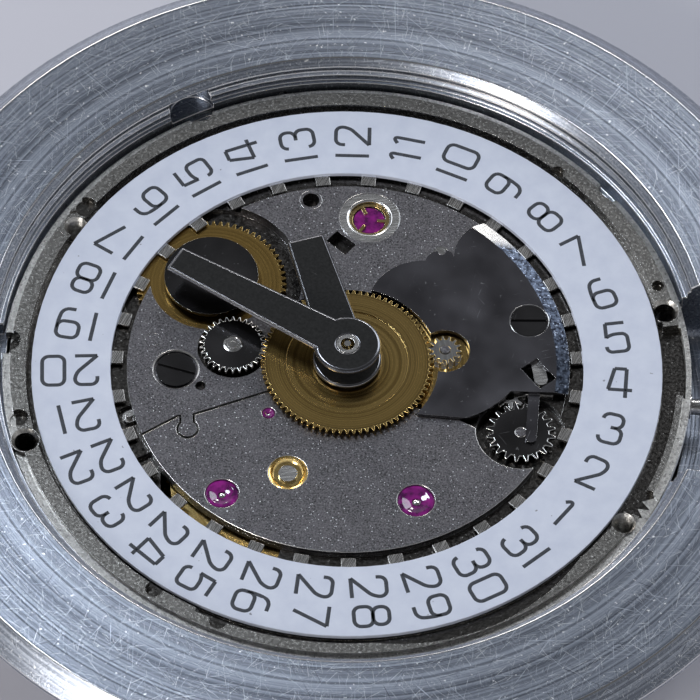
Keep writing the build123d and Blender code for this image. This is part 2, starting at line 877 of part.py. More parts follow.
    # holes in the upper land
    cut_disc(upper_hole_place, upper_hole_radius, pocket_floor, overrun)
    with BuildSketch(Plane.XY.offset(pocket_floor)):
        with Locations(Location((square_hole_place[0], square_hole_place[1], 0), (0, 0, square_hole_angle))):
            Rectangle(*square_hole_size)
    extrude(amount=pocket_depth, mode=Mode.SUBTRACT)
    for cover_screw_place in (left_screw_place, setting_screw_place):
        cut_disc(cover_screw_place, screw_shank_radius, pocket_floor - screw_depth_in_plate, overrun)
    # centre hole, jewels of the train side and screw holes
    cut_disc(centre, centre_tube_radius + fit_gap, plate_bottom - overrun, overrun)
    for jewel_place in (third_place, escape_place, pallet_place):
        cut_disc(jewel_place, jewel_radius, plate_bottom - overrun, plate_bottom + jewel_thickness)
        cut_disc(jewel_place, pivot_passage_radius, plate_bottom, pivot_top)
    post_screw_cuts(all_post_places + pallet_post_places, plate_bottom - overrun, tap_top)
    # rim: lower outer step, channels beside the date disc, pits, and the bosses of the foot holes
    with BuildSketch(Plane.XY.offset(-rim_step_depth)) as rim_step:
        Circle(rim_radius + overrun)
        Circle(rim_step_radius, mode=Mode.SUBTRACT)
    extrude(rim_step.sketch, amount=rim_step_depth, dir=(0, 0, 1), mode=Mode.SUBTRACT)
    for channel_radius, channel_start, channel_end in rim_channels:
        cut_channel(date_outer_radius, channel_radius, channel_start, channel_end, -rim_channel_depth)
    with BuildSketch(Plane.XY.offset(-rim_channel_depth)) as crescent:
        with Locations(polar(crescent_offset, crescent_angle)):
            Circle(crescent_radius)
        Circle(date_outer_radius, mode=Mode.SUBTRACT)
    extrude(crescent.sketch, amount=rim_channel_depth + overrun, dir=(0, 0, 1), mode=Mode.SUBTRACT)
    for pit_place, pit_radius in rim_pits:
        cut_disc(pit_place, pit_radius, -rim_pit_depth, overrun)
    cut_disc(side_notch_place, side_notch_radius, -rim_thickness, overrun)
    for foot_place in (left_foot_place, right_foot_place):
        with BuildSketch(Plane.XY.offset(-rim_thickness)) as boss:
            with Locations(foot_place):
                Circle(foot_boss_radius)
            Circle(date_outer_radius + plate_gap, mode=Mode.SUBTRACT)
        extrude(boss.sketch, amount=rim_thickness, dir=(0, 0, 1))
        cut_disc(foot_place, foot_hole_radius, plate_bottom - overrun, overrun)
        with Locations((foot_place[0], foot_place[1], -foot_cone_depth / 2)):
            Cone(foot_hole_radius, foot_cone_radius, foot_cone_depth, mode=Mode.SUBTRACT)
    for casing_place in (upper_casing_place, lower_casing_place):
        cut_disc(casing_place, casing_hole_radius, plate_bottom - overrun, overrun)
        cut_disc(casing_place, casing_seat_radius, -casing_seat_depth, overrun)
    for notch_angle in rim_notch_angles:
        cut_disc(polar(rim_notch_distance, notch_angle), rim_notch_radius, -rim_thickness, overrun)
finish(mainplate, "mainplate")


# Grained cover plates on the dial side
def cut_beyond_seam(shift, far_heading):
    """Cuts everything on one side of the seam between the two cover plates."""
    step = polar(shift, seam_heading)
    path = [(x + step[0], y + step[1]) for x, y in seam_places]
    far = polar(seam_far, far_heading)
    path.append((path[-1][0] + far[0], path[-1][1] + far[1]))
    path.append((path[0][0] + far[0], path[0][1] + far[1]))
    with BuildSketch(Plane.XY.offset(cover_bottom)) as beyond:
        with BuildLine():
            Polyline(path, close=True)
        make_face()
    extrude(beyond.sketch, amount=cover_thickness + overrun, dir=(0, 0, 1), mode=Mode.SUBTRACT)


with BuildPart() as calendar_plate:
    add_sector(land_radius, calendar_cover_start, calendar_cover_end, cover_bottom, cover_top)
    cut_beyond_seam(seam_gap, seam_heading + 180)
    add_bar(
        seam_lobe_place,
        seam_neck_place,
        seam_neck_width + seam_gap * 2,
        cover_bottom,
        cover_top,
        Mode.SUBTRACT,
    )
    cut_disc(centre, cover_bore_radius, cover_bottom, overrun)
    cut_disc(minute_place, minute_reach + plate_gap, cover_bottom, overrun)
    cut_disc(setting_place, setting_pocket_radius, cover_bottom, overrun)
    cut_disc(setting_middle_place, setting_middle_reach + plate_gap, cover_bottom, overrun)
    cut_disc(seam_lobe_place, seam_lobe_radius + seam_gap, cover_bottom, overrun)
    extrude(
        setting_cover_face(cover_bottom, seam_gap),
        amount=cover_thickness,
        dir=(0, 0, 1),
        mode=Mode.SUBTRACT,
    )
    cut_disc(barrel_place, bush_radius, cover_bottom, overrun)
    cut_disc(small_jewel_place, small_jewel_radius, cover_bottom, overrun)
    for jewel_place, large_jewel_radius in zip(large_jewel_places, large_jewel_radii):
        cut_disc(jewel_place, large_jewel_radius, cover_bottom, overrun)
finish(calendar_plate, "calendar_plate")

with BuildPart() as date_driver_plate:
    add_sector(land_radius, driver_cover_start, driver_cover_end, cover_bottom, cover_top)
    cut_beyond_seam(0, seam_heading)
    add_disc(seam_lobe_place, seam_lobe_radius, cover_bottom, cover_top)
    add_bar(seam_lobe_place, seam_neck_place, seam_neck_width, cover_bottom, cover_top)
    cut_disc(centre, cover_bore_radius, cover_bottom, overrun)
    cut_disc(date_drive_place, driver_window_radius, cover_bottom, overrun)
    cut_disc(middle_place, middle_window_radius, cover_bottom, overrun)
    cut_disc(locating_pin_place, locating_pin_radius + fit_gap, cover_bottom, overrun)
    cut_disc(jumper_pivot_place, stud_radius + fit_gap, cover_bottom, overrun)
    cut_disc(left_screw_place, screw_shank_radius + fit_gap, cover_bottom, overrun)
    cut_disc(left_screw_place, left_screw_seat, cover_top - cover_screw_head, overrun)
finish(date_driver_plate, "date_driver_plate")

# Polished cover over the setting works, with a bevel along its outer arc
with BuildPart() as setting_cover_plate:
    extrude(setting_cover_face(cover_top), amount=setting_cover_thickness, dir=(0, 0, 1))
    with BuildSketch(Plane.XZ):
        with BuildLine():
            Polyline(
                [
                    (setting_cover_radius - setting_cover_bevel_width, setting_cover_top),
                    (setting_cover_radius, setting_cover_top - setting_cover_bevel),
                    (setting_cover_radius + overrun, setting_cover_top - setting_cover_bevel),
                    (setting_cover_radius + overrun, setting_cover_top),
                ],
                close=True,
            )
        make_face()
    revolve(axis=Axis.Z, mode=Mode.SUBTRACT)
    cut_disc(setting_screw_place, screw_shank_radius + fit_gap, cover_top, overrun)
    cut_disc(setting_screw_place, right_screw_radius + fit_gap, setting_cover_top - cover_screw_head, overrun)
    with BuildSketch(Plane.XY.offset(cover_top)):
        with Locations(Location((pin_window_place[0], pin_window_place[1], 0), (0, 0, pin_window_angle))):
            Rectangle(*pin_window_size)
    extrude(amount=setting_cover_thickness, mode=Mode.SUBTRACT)
    # tongue that holds the setting wheel down
    add_bar(tongue_start, tongue_end, tongue_width, cover_top - tongue_thickness, cover_top)
finish(setting_cover_plate, "setting_cover_plate")


def add_screw(place, head_radius, head_low, head_high, shank_low, shank_high, slot_angle, head_up):
    """A slotted screw whose head faces up or down."""
    add_disc(place, head_radius, head_low, head_high)
    add_disc(place, screw_shank_radius, shank_low, shank_high)
    slot_level = head_high - screw_slot_depth if head_up else head_low
    with BuildSketch(Plane.XY.offset(slot_level)) as slot:
        with Locations(Location((place[0], place[1], 0), (0, 0, slot_angle))):
            Rectangle(head_radius * 2 + overrun, screw_slot_width)
    extrude(slot.sketch, amount=screw_slot_depth, dir=(0, 0, 1), mode=Mode.SUBTRACT)


def add_jewel(place, outer_radius, hole_radius, low, high):
    add_disc(place, outer_radius, low, high)
    cut_disc(place, hole_radius, low, high)


# Date disc: a flat ring with inner lugs below it
with BuildPart() as date_disc:
    with BuildSketch(Plane.XY.offset(date_bottom)):
        Circle(date_outer_radius)
        Circle(date_inner_radius, mode=Mode.SUBTRACT)
    extrude(amount=date_thickness)
    lug_root = (date_inner_radius + lug_channel_radius) / 2
    with BuildSketch(Plane.XY.offset(lug_bottom)):
        with PolarLocations(0, lug_count, start_angle=lug_phase):
            with Locations(((lug_inner_radius + lug_root) / 2, 0)):
                Rectangle(lug_root - lug_inner_radius, lug_width)
    extrude(amount=lug_height)
finish(date_disc, "date_disc")

with BuildPart() as date_jumper:
    add_bar(jumper_pivot_place, jumper_nose_place, jumper_width, jumper_low, jumper_high)
    add_disc(jumper_nose_place, jumper_nose_radius, jumper_low, lug_top - fit_gap)
    cut_disc(jumper_pivot_place, stud_radius + fit_gap, jumper_low, jumper_high)
finish(date_jumper, "date_jumper")

# Motion work
minute_turn = mesh_turn(centre, cannon_teeth, 0, minute_place, minute_teeth)
hour_turn = mesh_turn(minute_place, minute_pinion_teeth, 0, centre, hour_teeth)
middle_turn = mesh_turn(centre, hour_teeth, hour_turn, middle_place, middle_teeth)
date_drive_turn = mesh_turn(middle_place, middle_pinion_teeth, 0, date_drive_place, date_drive_teeth)
setting_middle_turn = mesh_turn(
    minute_place, minute_teeth, minute_turn, setting_middle_place, setting_middle_teeth
)
setting_turn = mesh_turn(
    setting_middle_place, setting_middle_teeth, setting_middle_turn, setting_place, setting_teeth
)

with BuildPart() as cannon_pinion:
    add_gear(centre, cannon_teeth, motion_module, 0, motion_bottom, motion_top)
    add_disc(centre, cannon_tube_radius, motion_bottom, minute_hand_bottom + minute_hand_thickness)
    cut_disc(centre, cannon_bore_radius, motion_bottom, minute_hand_bottom + minute_hand_thickness)
finish(cannon_pinion, "cannon_pinion")

with BuildPart() as minute_wheel:
    add_gear(minute_place, minute_teeth, motion_module, minute_turn, motion_bottom, motion_top)
    add_gear(minute_place, minute_pinion_teeth, hour_module, 0, motion_top, minute_pinion_top)
    cut_disc(minute_place, stud_radius + fit_gap, motion_bottom, minute_pinion_top)
finish(minute_wheel, "minute_wheel")

with BuildPart() as hour_wheel:
    add_gear(centre, hour_teeth, hour_module, hour_turn, hour_bottom, hour_top)
    cut_disc(centre, hour_dish_radius, hour_top - hour_dish_depth, hour_top)
    add_disc(centre, hour_pipe_radius, hour_bottom, hour_hand_bottom + hour_hand_thickness)
    cut_disc(centre, hour_bore_radius, hour_bottom, hour_hand_bottom + hour_hand_thickness)
finish(hour_wheel, "hour_wheel")

with BuildPart() as intermediate_date_wheel:
    add_gear(middle_place, middle_teeth, hour_module, middle_turn, hour_bottom, hour_top)
    add_gear(middle_place, middle_pinion_teeth, date_module, 0, date_drive_bottom, hour_bottom)
    cut_disc(middle_place, stud_radius + fit_gap, date_drive_bottom, hour_top)
finish(intermediate_date_wheel, "intermediate_date_wheel")

with BuildPart() as date_driving_wheel:
    add_gear(
        date_drive_place, date_drive_teeth, date_module, date_drive_turn, date_drive_bottom, date_drive_top
    )
    cut_disc(date_drive_place, stud_radius + fit_gap, date_drive_bottom, date_drive_top)
finish(date_driving_wheel, "date_driving_wheel")

with BuildPart() as date_driver_disc:
    add_disc(date_drive_place, date_disc_radius, date_disc_bottom, date_disc_bottom + date_disc_thickness)
    add_disc(date_drive_place, date_hub_radius, date_drive_top, date_disc_bottom)
    finger_end = polar(finger_reach - finger_width / 2, finger_angle, date_drive_place)
    add_bar(date_drive_place, finger_end, finger_width, lug_bottom, lug_top)
    cut_disc(date_drive_place, stud_radius + fit_gap, date_drive_top, date_disc_bottom)
finish(date_driver_disc, "date_driver_disc")

with BuildPart() as setting_middle_wheel:
    add_gear(
        setting_middle_place,
        setting_middle_teeth,
        motion_module,
        setting_middle_turn,
        motion_bottom,
        motion_top,
    )
    cut_disc(setting_middle_place, stud_radius + fit_gap, motion_bottom, motion_top)
finish(setting_middle_wheel, "intermediate_setting_wheel")

with BuildPart() as setting_wheel:
    add_gear(setting_place, setting_teeth, motion_module, setting_turn, motion_bottom, motion_top)
    cut_disc(setting_place, stud_radius + fit_gap, motion_bottom, motion_top)
finish(setting_wheel, "setting_wheel")

lever_top = cover_top - fit_gap / 2
lever_bottom = lever_top - setting_lever_thickness


# Hands
def add_hand(root, tip, length, heading, hub_radius, hole_radius, low, thickness):
    with BuildSketch(Plane.XY.offset(low)) as outline:
        with Locations(Location((0, 0, 0), (0, 0, heading))):
            with BuildLine(mode=Mode.PRIVATE) as blade:
                Polyline([(0, -root / 2), (length, -tip / 2), (length, tip / 2), (0, root / 2)], close=True)
            add(make_face(blade.edges(), mode=Mode.PRIVATE))
        Circle(hub_radius)
        Circle(hole_radius, mode=Mode.SUBTRACT)
    extrude(outline.sketch, amount=thickness, dir=(0, 0, 1))


with BuildPart() as hour_hand:
    add_hand(
        hour_hand_root,
        hour_hand_tip,
        hour_hand_length,
        hour_hand_angle,
        hour_hub_radius,
        hour_pipe_radius,
        hour_hand_bottom,
        hour_hand_thickness,
    )
    chamfer(hour_hand.faces().sort_by(Axis.Z)[-1].outer_wire().edges(), length=hand_bevel)
finish(hour_hand, "hour_hand")

with BuildPart() as minute_hand:
    add_hand(
        minute_hand_root,
        minute_hand_tip,
        minute_hand_length,
        minute_hand_angle,
        minute_hub_radius,
        cannon_tube_radius,
        minute_hand_bottom,
        minute_hand_thickness,
    )
    chamfer(minute_hand.faces().sort_by(Axis.Z)[-1].outer_wire().edges(), length=hand_bevel)
    add_jewel(
        centre,
        minute_collar_radius,
        cannon_tube_radius,
        minute_hand_bottom - minute_collar_height,
        minute_hand_bottom,
    )
finish(minute_hand, "minute_hand")


# Winding and setting works on the stem's axis
def add_rod(start, end, radius, mode=Mode.ADD):
    """A round length on the stem's axis."""
    with BuildSketch(Plane.YZ.offset(start)) as profile:
        with Locations((0, stem_level)):
            Circle(radius)
    extrude(profile.sketch, amount=end - start, dir=(1, 0, 0), mode=mode)


def add_stem_gear(start, end):
    with BuildSketch(Plane.YZ.offset(start)) as profile:
        with Locations((0, stem_level)):
            with BuildLine(mode=Mode.PRIVATE) as outline:
                Polyline(tooth_points(pinion_teeth, pinion_module), close=True)
            add(make_face(outline.edges(), mode=Mode.PRIVATE))
    extrude(profile.sketch, amount=end - start, dir=(1, 0, 0))


def add_square(start, end, width, mode=Mode.ADD):
    with BuildSketch(Plane.YZ.offset(start)) as profile:
        with Locations((0, stem_level)):
            Rectangle(width, width)
    extrude(profile.sketch, amount=end - start, dir=(1, 0, 0), mode=mode)


sliding_pinion_end = sliding_pinion_start + sliding_pinion_length
winding_pinion_end = winding_pinion_start + winding_pinion_length
groove_start = setting_pin_place[0] - groove_width / 2
groove_end = setting_pin_place[0] + groove_width / 2
thread_start = stem_length_out - stem_thread_length

with BuildPart() as stem:
    add_rod(stem_pilot_start, sliding_pinion_start, stem_pilot_radius)
    add_square(sliding_pinion_start, winding_pinion_start, stem_square)
    add_rod(winding_pinion_start, winding_pinion_end + plate_gap, stem_neck_radius)
    add_rod(winding_pinion_end + plate_gap, groove_start, stem_radius)
    add_rod(groove_start, groove_end, stem_groove_radius)
    add_rod(groove_end, stem_bearing_start, stem_radius)
    add_rod(stem_bearing_start, thread_start, stem_bearing_radius)
    add_rod(thread_start, stem_length_out, stem_thread_radius)
finish(stem, "stem")

with BuildPart() as winding_pinion:
    add_stem_gear(winding_pinion_start, winding_pinion_end)
    add_rod(winding_pinion_start, winding_pinion_end, stem_square / sqrt(2) + fit_gap, Mode.SUBTRACT)
finish(winding_pinion, "winding_pinion")

with BuildPart() as sliding_pinion:
    groove_low = sliding_groove_place[0] - sliding_groove_width / 2
    groove_high = sliding_groove_place[0] + sliding_groove_width / 2
    add_stem_gear(sliding_pinion_start, groove_low)
    add_rod(groove_low, groove_high, sliding_groove_radius)
    add_stem_gear(groove_high, sliding_pinion_end)
    add_square(sliding_pinion_start, sliding_pinion_end, stem_square + fit_gap * 2, Mode.SUBTRACT)
finish(sliding_pinion, "sliding_pinion")

with BuildPart() as setting_lever:
    add_bar(setting_screw_place, setting_pin_place, setting_lever_width, lever_bottom, lever_top)
    add_disc(setting_pin_place, setting_pin_radius, stem_level + stem_groove_radius + plate_gap, lever_top)
    cut_disc(setting_screw_place, lever_post_radius + fit_gap, lever_bottom, lever_top)
finish(setting_lever, "setting_lever")

yoke_bend_place = (yoke_tip_place[0], pinion_tip_radius + yoke_width / 2 + plate_gap)
with BuildPart() as yoke:
    add_bar(yoke_pivot_place, yoke_bend_place, yoke_width, yoke_bottom, yoke_top)
    add_bar(yoke_bend_place, yoke_tip_place, yoke_tip_width, yoke_bottom, yoke_top)
    cut_disc(yoke_pivot_place, stud_radius + fit_gap, yoke_bottom, yoke_top)
finish(yoke, "yoke")

# Contrate wheel driven by the winding pinion, and the winding wheels on the bridges
crown_root_radius = pinion_module * (crown_lower_teeth / 2 - dedendum_share)
crown_web = crown_top - crown_tooth_depth
crown_lower_turn = 180 / crown_lower_teeth
with BuildPart() as crown_pinion:
    add_gear(
        crown_place, crown_lower_teeth, pinion_module, crown_lower_turn, crown_top - crown_height, crown_top
    )
    cut_disc(crown_place, crown_root_radius, crown_web, crown_top)
    add_disc(crown_place, crown_arbor_radius, winding_bottom, crown_web)
finish(crown_pinion, "crown_pinion")

winding_middle_turn = mesh_turn(crown_place, crown_upper_teeth, 0, winding_middle_place, winding_middle_teeth)
ratchet_turn = mesh_turn(
    winding_middle_place, winding_middle_teeth, winding_middle_turn, barrel_place, ratchet_teeth
)
with BuildPart() as crown_wheel:
    add_gear(crown_place, crown_upper_teeth, winding_module, 0, winding_bottom, winding_top)
    cut_disc(crown_place, crown_arbor_radius, winding_bottom, winding_top)
finish(crown_wheel, "crown_wheel")

with BuildPart() as intermediate_winding_wheel:
    add_gear(
        winding_middle_place,
        winding_middle_teeth,
        winding_module,
        winding_middle_turn,
        winding_bottom,
        winding_top,
    )
    cut_disc(winding_middle_place, crown_arbor_radius + fit_gap, winding_bottom, winding_top)
finish(intermediate_winding_wheel, "intermediate_winding_wheel")

with BuildPart() as ratchet_wheel:
    add_gear(barrel_place, ratchet_teeth, winding_module, ratchet_turn, winding_bottom, winding_top)
    cut_disc(barrel_place, barrel_pivot_radius, winding_bottom, winding_top)
finish(ratchet_wheel, "ratchet_wheel")

ratchet_tip_radius = winding_module * (ratchet_teeth / 2 + addendum_share)
click_pivot_place = polar(click_distance, click_angle, barrel_place)
click_nose_place = polar(
    ratchet_tip_radius + click_width / 2 + fit_gap,
    click_angle + degrees(click_length / click_distance),
    barrel_place,
)
with BuildPart() as click:
    add_bar(click_pivot_place, click_nose_place, click_width, winding_bottom, winding_top)
    add_disc(click_pivot_place, click_width, winding_bottom, winding_top)
    cut_disc(click_pivot_place, stud_radius + fit_gap, winding_bottom, winding_top)
finish(click, "click")

# Barrel with its mainspring and arbor
drum_inner_radius = barrel_drum_radius - barrel_wall
with BuildPart() as barrel_drum:
    add_gear(barrel_place, barrel_teeth, barrel_module, 0, barrel_bottom, barrel_bottom + barrel_tooth_height)
    add_disc(barrel_place, barrel_drum_radius, barrel_bottom, barrel_top)
    cut_disc(barrel_place, drum_inner_radius, barrel_bottom + barrel_lid, barrel_top)
    cut_disc(barrel_place, barrel_pivot_radius + fit_gap, barrel_bottom, barrel_top)
finish(barrel_drum, "barrel_drum")

with BuildPart() as barrel_cover:
    add_jewel(
        barrel_place, drum_inner_radius, barrel_pivot_radius + fit_gap, barrel_top - barrel_lid, barrel_top
    )
finish(barrel_cover, "barrel_cover")

with BuildPart() as barrel_arbor:
    add_disc(barrel_place, barrel_pivot_radius, winding_bottom, cover_top - plate_gap)
    add_disc(
        barrel_place,
        barrel_arbor_radius,
        barrel_bottom + barrel_lid + fit_gap,
        barrel_top - barrel_lid - fit_gap,
    )
finish(barrel_arbor, "barrel_arbor")

mainspring_pitch = (drum_inner_radius - barrel_arbor_radius - spring_strip * 2) / (spring_turns + 1)
with BuildPart() as mainspring:
    extrude(
        spiral_face(
            barrel_place,
            barrel_arbor_radius + spring_strip,
            mainspring_pitch,
            spring_turns,
            spring_strip,
            barrel_bottom + barrel_lid + plate_gap,
        ),
        amount=barrel_top - barrel_bottom - 2 * barrel_lid - 2 * plate_gap,
        dir=(0, 0, 1),
    )
finish(mainspring, "mainspring")

with BuildPart() as barrel_bush:
    add_jewel(
        barrel_place,
        bush_radius,
        barrel_pivot_radius + fit_gap,
        barrel_top + barrel_gap,
        cover_top - plate_gap,
    )
finish(barrel_bush, "barrel_bush")

# Going train
third_turn = mesh_turn(centre, centre_teeth, 0, third_place, third_pinion_teeth)
seconds_turn = mesh_turn(third_place, third_teeth, third_turn, centre, seconds_pinion_teeth)
escape_turn = mesh_turn(centre, seconds_teeth, seconds_turn, escape_place, escape_pinion_teeth)
centre_pinion_turn = mesh_turn(barrel_place, barrel_teeth, 0, centre, centre_pinion_teeth)
train_low = bridge_top - jewel_thickness
train_high = plate_bottom + jewel_thickness
tube_top = minute_hand_bottom - minute_collar_height
centre_rim = centre_module * (centre_teeth / 2 - dedendum_share) - wheel_hub_radius
third_rim = third_module * (third_teeth / 2 - dedendum_share) - wheel_hub_radius
seconds_rim = seconds_module * (seconds_teeth / 2 - dedendum_share) - wheel_hub_radius

with BuildPart() as centre_wheel:
    centre_low = centre_wheel_top - wheel_thickness
    add_gear(centre, centre_teeth, centre_module, 0, centre_low, centre_wheel_top)
    cut_spokes(
        centre, wheel_hub_radius * 2, centre_rim, spoke_count, spoke_width, centre_low, centre_wheel_top
    )
    add_gear(
        centre, centre_pinion_teeth, barrel_module, centre_pinion_turn, centre_low, plate_bottom - barrel_gap
    )
    add_disc(centre, centre_tube_radius, centre_low, tube_top)
    cut_disc(centre, centre_tube_bore, centre_low, tube_top)
finish(centre_wheel, "centre_wheel")

with BuildPart() as third_wheel:
    third_low = third_wheel_top - wheel_thickness
    add_gear(third_place, third_teeth, third_module, third_turn, third_low, third_wheel_top)
    cut_spokes(third_place, wheel_hub_radius, third_rim, spoke_count, spoke_width, third_low, third_wheel_top)
    add_gear(
        third_place,
        third_pinion_teeth,
        centre_module,
        third_turn,
        third_wheel_top,
        centre_wheel_top + fit_gap,
    )
    add_arbor(third_place, train_low, train_high)
finish(third_wheel, "third_wheel")

with BuildPart() as seconds_wheel:
    seconds_low = seconds_wheel_top - wheel_thickness
    add_gear(centre, seconds_teeth, seconds_module, seconds_turn, seconds_low, seconds_wheel_top)
    cut_spokes(
        centre, wheel_hub_radius, seconds_rim, spoke_count, spoke_width, seconds_low, seconds_wheel_top
    )
    add_gear(
        centre,
        seconds_pinion_teeth,
        third_module,
        seconds_turn,
        seconds_wheel_top,
        centre_wheel_top - wheel_thickness - fit_gap * 2,
    )
    add_disc(centre, seconds_pivot_radius, seconds_low, seconds_pivot_top)
    add_disc(centre, arbor_radius, bridge_top + fit_gap, seconds_low)
    add_disc(centre, pivot_radius, train_low + fit_gap, bridge_top + fit_gap)
finish(seconds_wheel, "seconds_wheel")


def escape_points():
    """Club-shaped teeth that lean forward."""
    pitch = 2 * pi / escape_teeth
    return [
        (
            escape_tip_radius * radius_share * cos(pitch * (tooth + share)),
            escape_tip_radius * radius_share * sin(pitch * (tooth + share)),
        )
        for tooth in range(escape_teeth)
        for share, radius_share in escape_corner_shares
    ]


with BuildPart() as escape_wheel:
    escape_low = escape_wheel_top - wheel_thickness
    with BuildSketch(Plane.XY.offset(escape_low)) as escape_outline:
        with Locations(escape_place):
            with BuildLine(mode=Mode.PRIVATE) as escape_edge:
                Polyline(escape_points(), close=True)
            add(make_face(escape_edge.edges(), mode=Mode.PRIVATE))
    extrude(escape_outline.sketch, amount=wheel_thickness, dir=(0, 0, 1))
    cut_spokes(
        escape_place,
        wheel_hub_radius,
        escape_tip_radius * escape_root_share - spoke_width / 2,
        spoke_count - 1,
        spoke_width / 2,
        escape_low,
        escape_wheel_top,
    )
    add_gear(
        escape_place,
        escape_pinion_teeth,
        seconds_module,
        escape_turn,
        seconds_low - fit_gap,
        seconds_wheel_top + fit_gap,
    )
    add_arbor(escape_place, train_low, train_high)
finish(escape_wheel, "escape_wheel")

# Lever escapement
lever_heading = angle_between(pallet_place, balance_place)
lever_reach = gap_between(pallet_place, balance_place) - impulse_radius
pallet_swing = degrees(atan2(sqrt(pallet_distance**2 - escape_tip_radius**2), escape_tip_radius))
stone_places = [
    polar(escape_tip_radius, lever_heading + side * pallet_swing, escape_place) for side in (-1, 1)
]
pallet_low = escape_low
with BuildPart() as pallet_fork:
    lever_end = polar(lever_reach, lever_heading, pallet_place)
    add_bar(pallet_place, lever_end, lever_width, pallet_low, escape_wheel_top)
    with BuildSketch(Plane.XY.offset(pallet_low)):
        with Locations(Location((lever_end[0], lever_end[1], 0), (0, 0, lever_heading))):
            Rectangle(impulse_radius, fork_notch_width)
    extrude(amount=wheel_thickness, mode=Mode.SUBTRACT)
    for stone_place in stone_places:
        arm_heading = angle_between(pallet_place, stone_place)
        arm_reach = gap_between(pallet_place, stone_place) - stone_length / 2
        add_bar(
            pallet_place,
            polar(arm_reach, arm_heading, pallet_place),
            pallet_arm_width,
            pallet_low,
            escape_wheel_top,
        )
    add_arbor(pallet_place, pallet_bridge_top - jewel_thickness, train_high)
finish(pallet_fork, "pallet_fork")

with BuildPart() as pallet_stones:
    for stone_place in stone_places:
        arm_heading = angle_between(pallet_place, stone_place)
        stone_start = gap_between(pallet_place, stone_place) - stone_length / 2 + pallet_arm_width / 2
        stone_middle = polar(stone_start + stone_length / 2, arm_heading, pallet_place)
        with BuildSketch(Plane.XY.offset(pallet_low)):
            with Locations(Location((stone_middle[0], stone_middle[1], 0), (0, 0, arm_heading))):
                Rectangle(stone_length, stone_width)
        extrude(amount=wheel_thickness)
finish(pallet_stones, "pallet_stones")

# Balance, its staff with the roller, and the hairspring
balance_low = balance_top - balance_height
upper_pivot_end = upper_shock_inner + shock_floor + shock_jewel_thickness
lower_shock_top = lower_shock_bottom + shock_height
lower_pivot_end = lower_shock_top - shock_floor - shock_jewel_thickness
with BuildPart() as balance_wheel:
    with BuildSketch(Plane.XY.offset(balance_low)):
        with Locations(balance_place):
            Circle(balance_radius)
            Circle(balance_radius - balance_rim_width, mode=Mode.SUBTRACT)
    extrude(amount=balance_height)
    with BuildSketch(Plane.XY.offset(balance_low)) as arms:
        with Locations(balance_place):
            with PolarLocations(0, balance_arm_count, start_angle=balance_arm_angle):
                with Locations(((balance_radius - balance_rim_width / 2) / 2, 0)):
                    Rectangle(balance_radius - balance_rim_width / 2, balance_arm_width)
            Circle(balance_hub_radius)
    extrude(arms.sketch, amount=balance_height / 2, dir=(0, 0, 1))
    cut_disc(balance_place, staff_radius, balance_low, balance_top)
finish(balance_wheel, "balance_wheel")

impulse_place = polar(impulse_radius, lever_heading + 180, balance_place)
with BuildPart() as balance_staff:
    add_disc(balance_place, staff_radius, lower_shock_top + fit_gap, upper_shock_inner - fit_gap)
    add_disc(balance_place, staff_pivot_radius, lower_pivot_end + fit_gap, upper_pivot_end - fit_gap)
    add_disc(balance_place, roller_radius, roller_top - roller_thickness, roller_top)
    add_disc(impulse_place, impulse_pin_radius, roller_top, escape_wheel_top + fit_gap)
finish(balance_staff, "balance_staff")

hairspring_low = hairspring_top - hairspring_height
with BuildPart() as hairspring:
    extrude(
        spiral_face(
            balance_place,
            hairspring_inner,
            hairspring_pitch,
            hairspring_turns,
            hairspring_strip,
            hairspring_low,
        ),
        amount=hairspring_height,
        dir=(0, 0, 1),
    )
    add_jewel(
        balance_place, hairspring_inner + hairspring_strip / 2, staff_radius, hairspring_low, hairspring_top
    )
finish(hairspring, "hairspring")


# Shock settings: a cup, its two jewels and a lyre spring, at each end of the staff
def shock_levels(outer, inward):
    """Levels inwards from the outer face of a setting; inward is +1 or -1 along Z."""
    spring = outer + inward * shock_floor
    cap = spring + inward * (shock_spring_thickness + fit_gap / 2)
    hole_jewel = outer + inward * (shock_height - shock_floor)
    return spring, cap, hole_jewel


def add_between(place, radius, first, second, mode=Mode.ADD):
    add_disc(place, radius, min(first, second), max(first, second), mode)


shock_sides = ((upper_shock_top, -1), (lower_shock_bottom, 1))
with BuildPart() as shock_blocks:
    for outer, inward in shock_sides:
        spring_level, cap_level, hole_level = shock_levels(outer, inward)
        add_between(balance_place, shock_radius, outer, outer + inward * shock_height)
        add_between(balance_place, shock_seat_radius, outer, hole_level, Mode.SUBTRACT)
        add_between(balance_place, shock_floor_hole, outer, outer + inward * shock_height, Mode.SUBTRACT)
finish(shock_blocks, "shock_blocks")

with BuildPart() as shock_jewels:
    for outer, inward in shock_sides:
        spring_level, cap_level, hole_level = shock_levels(outer, inward)
        add_between(
            balance_place, shock_jewel_radius, hole_level, hole_level - inward * shock_jewel_thickness
        )
        add_between(
            balance_place,
            staff_pivot_radius + running_gap,
            hole_level,
            hole_level - inward * shock_jewel_thickness,
            Mode.SUBTRACT,
        )
        add_between(
            balance_place,
            shock_jewel_radius,
            cap_level,
            hole_level - inward * (shock_jewel_thickness + fit_gap / 2),
        )
finish(shock_jewels, "shock_jewels")

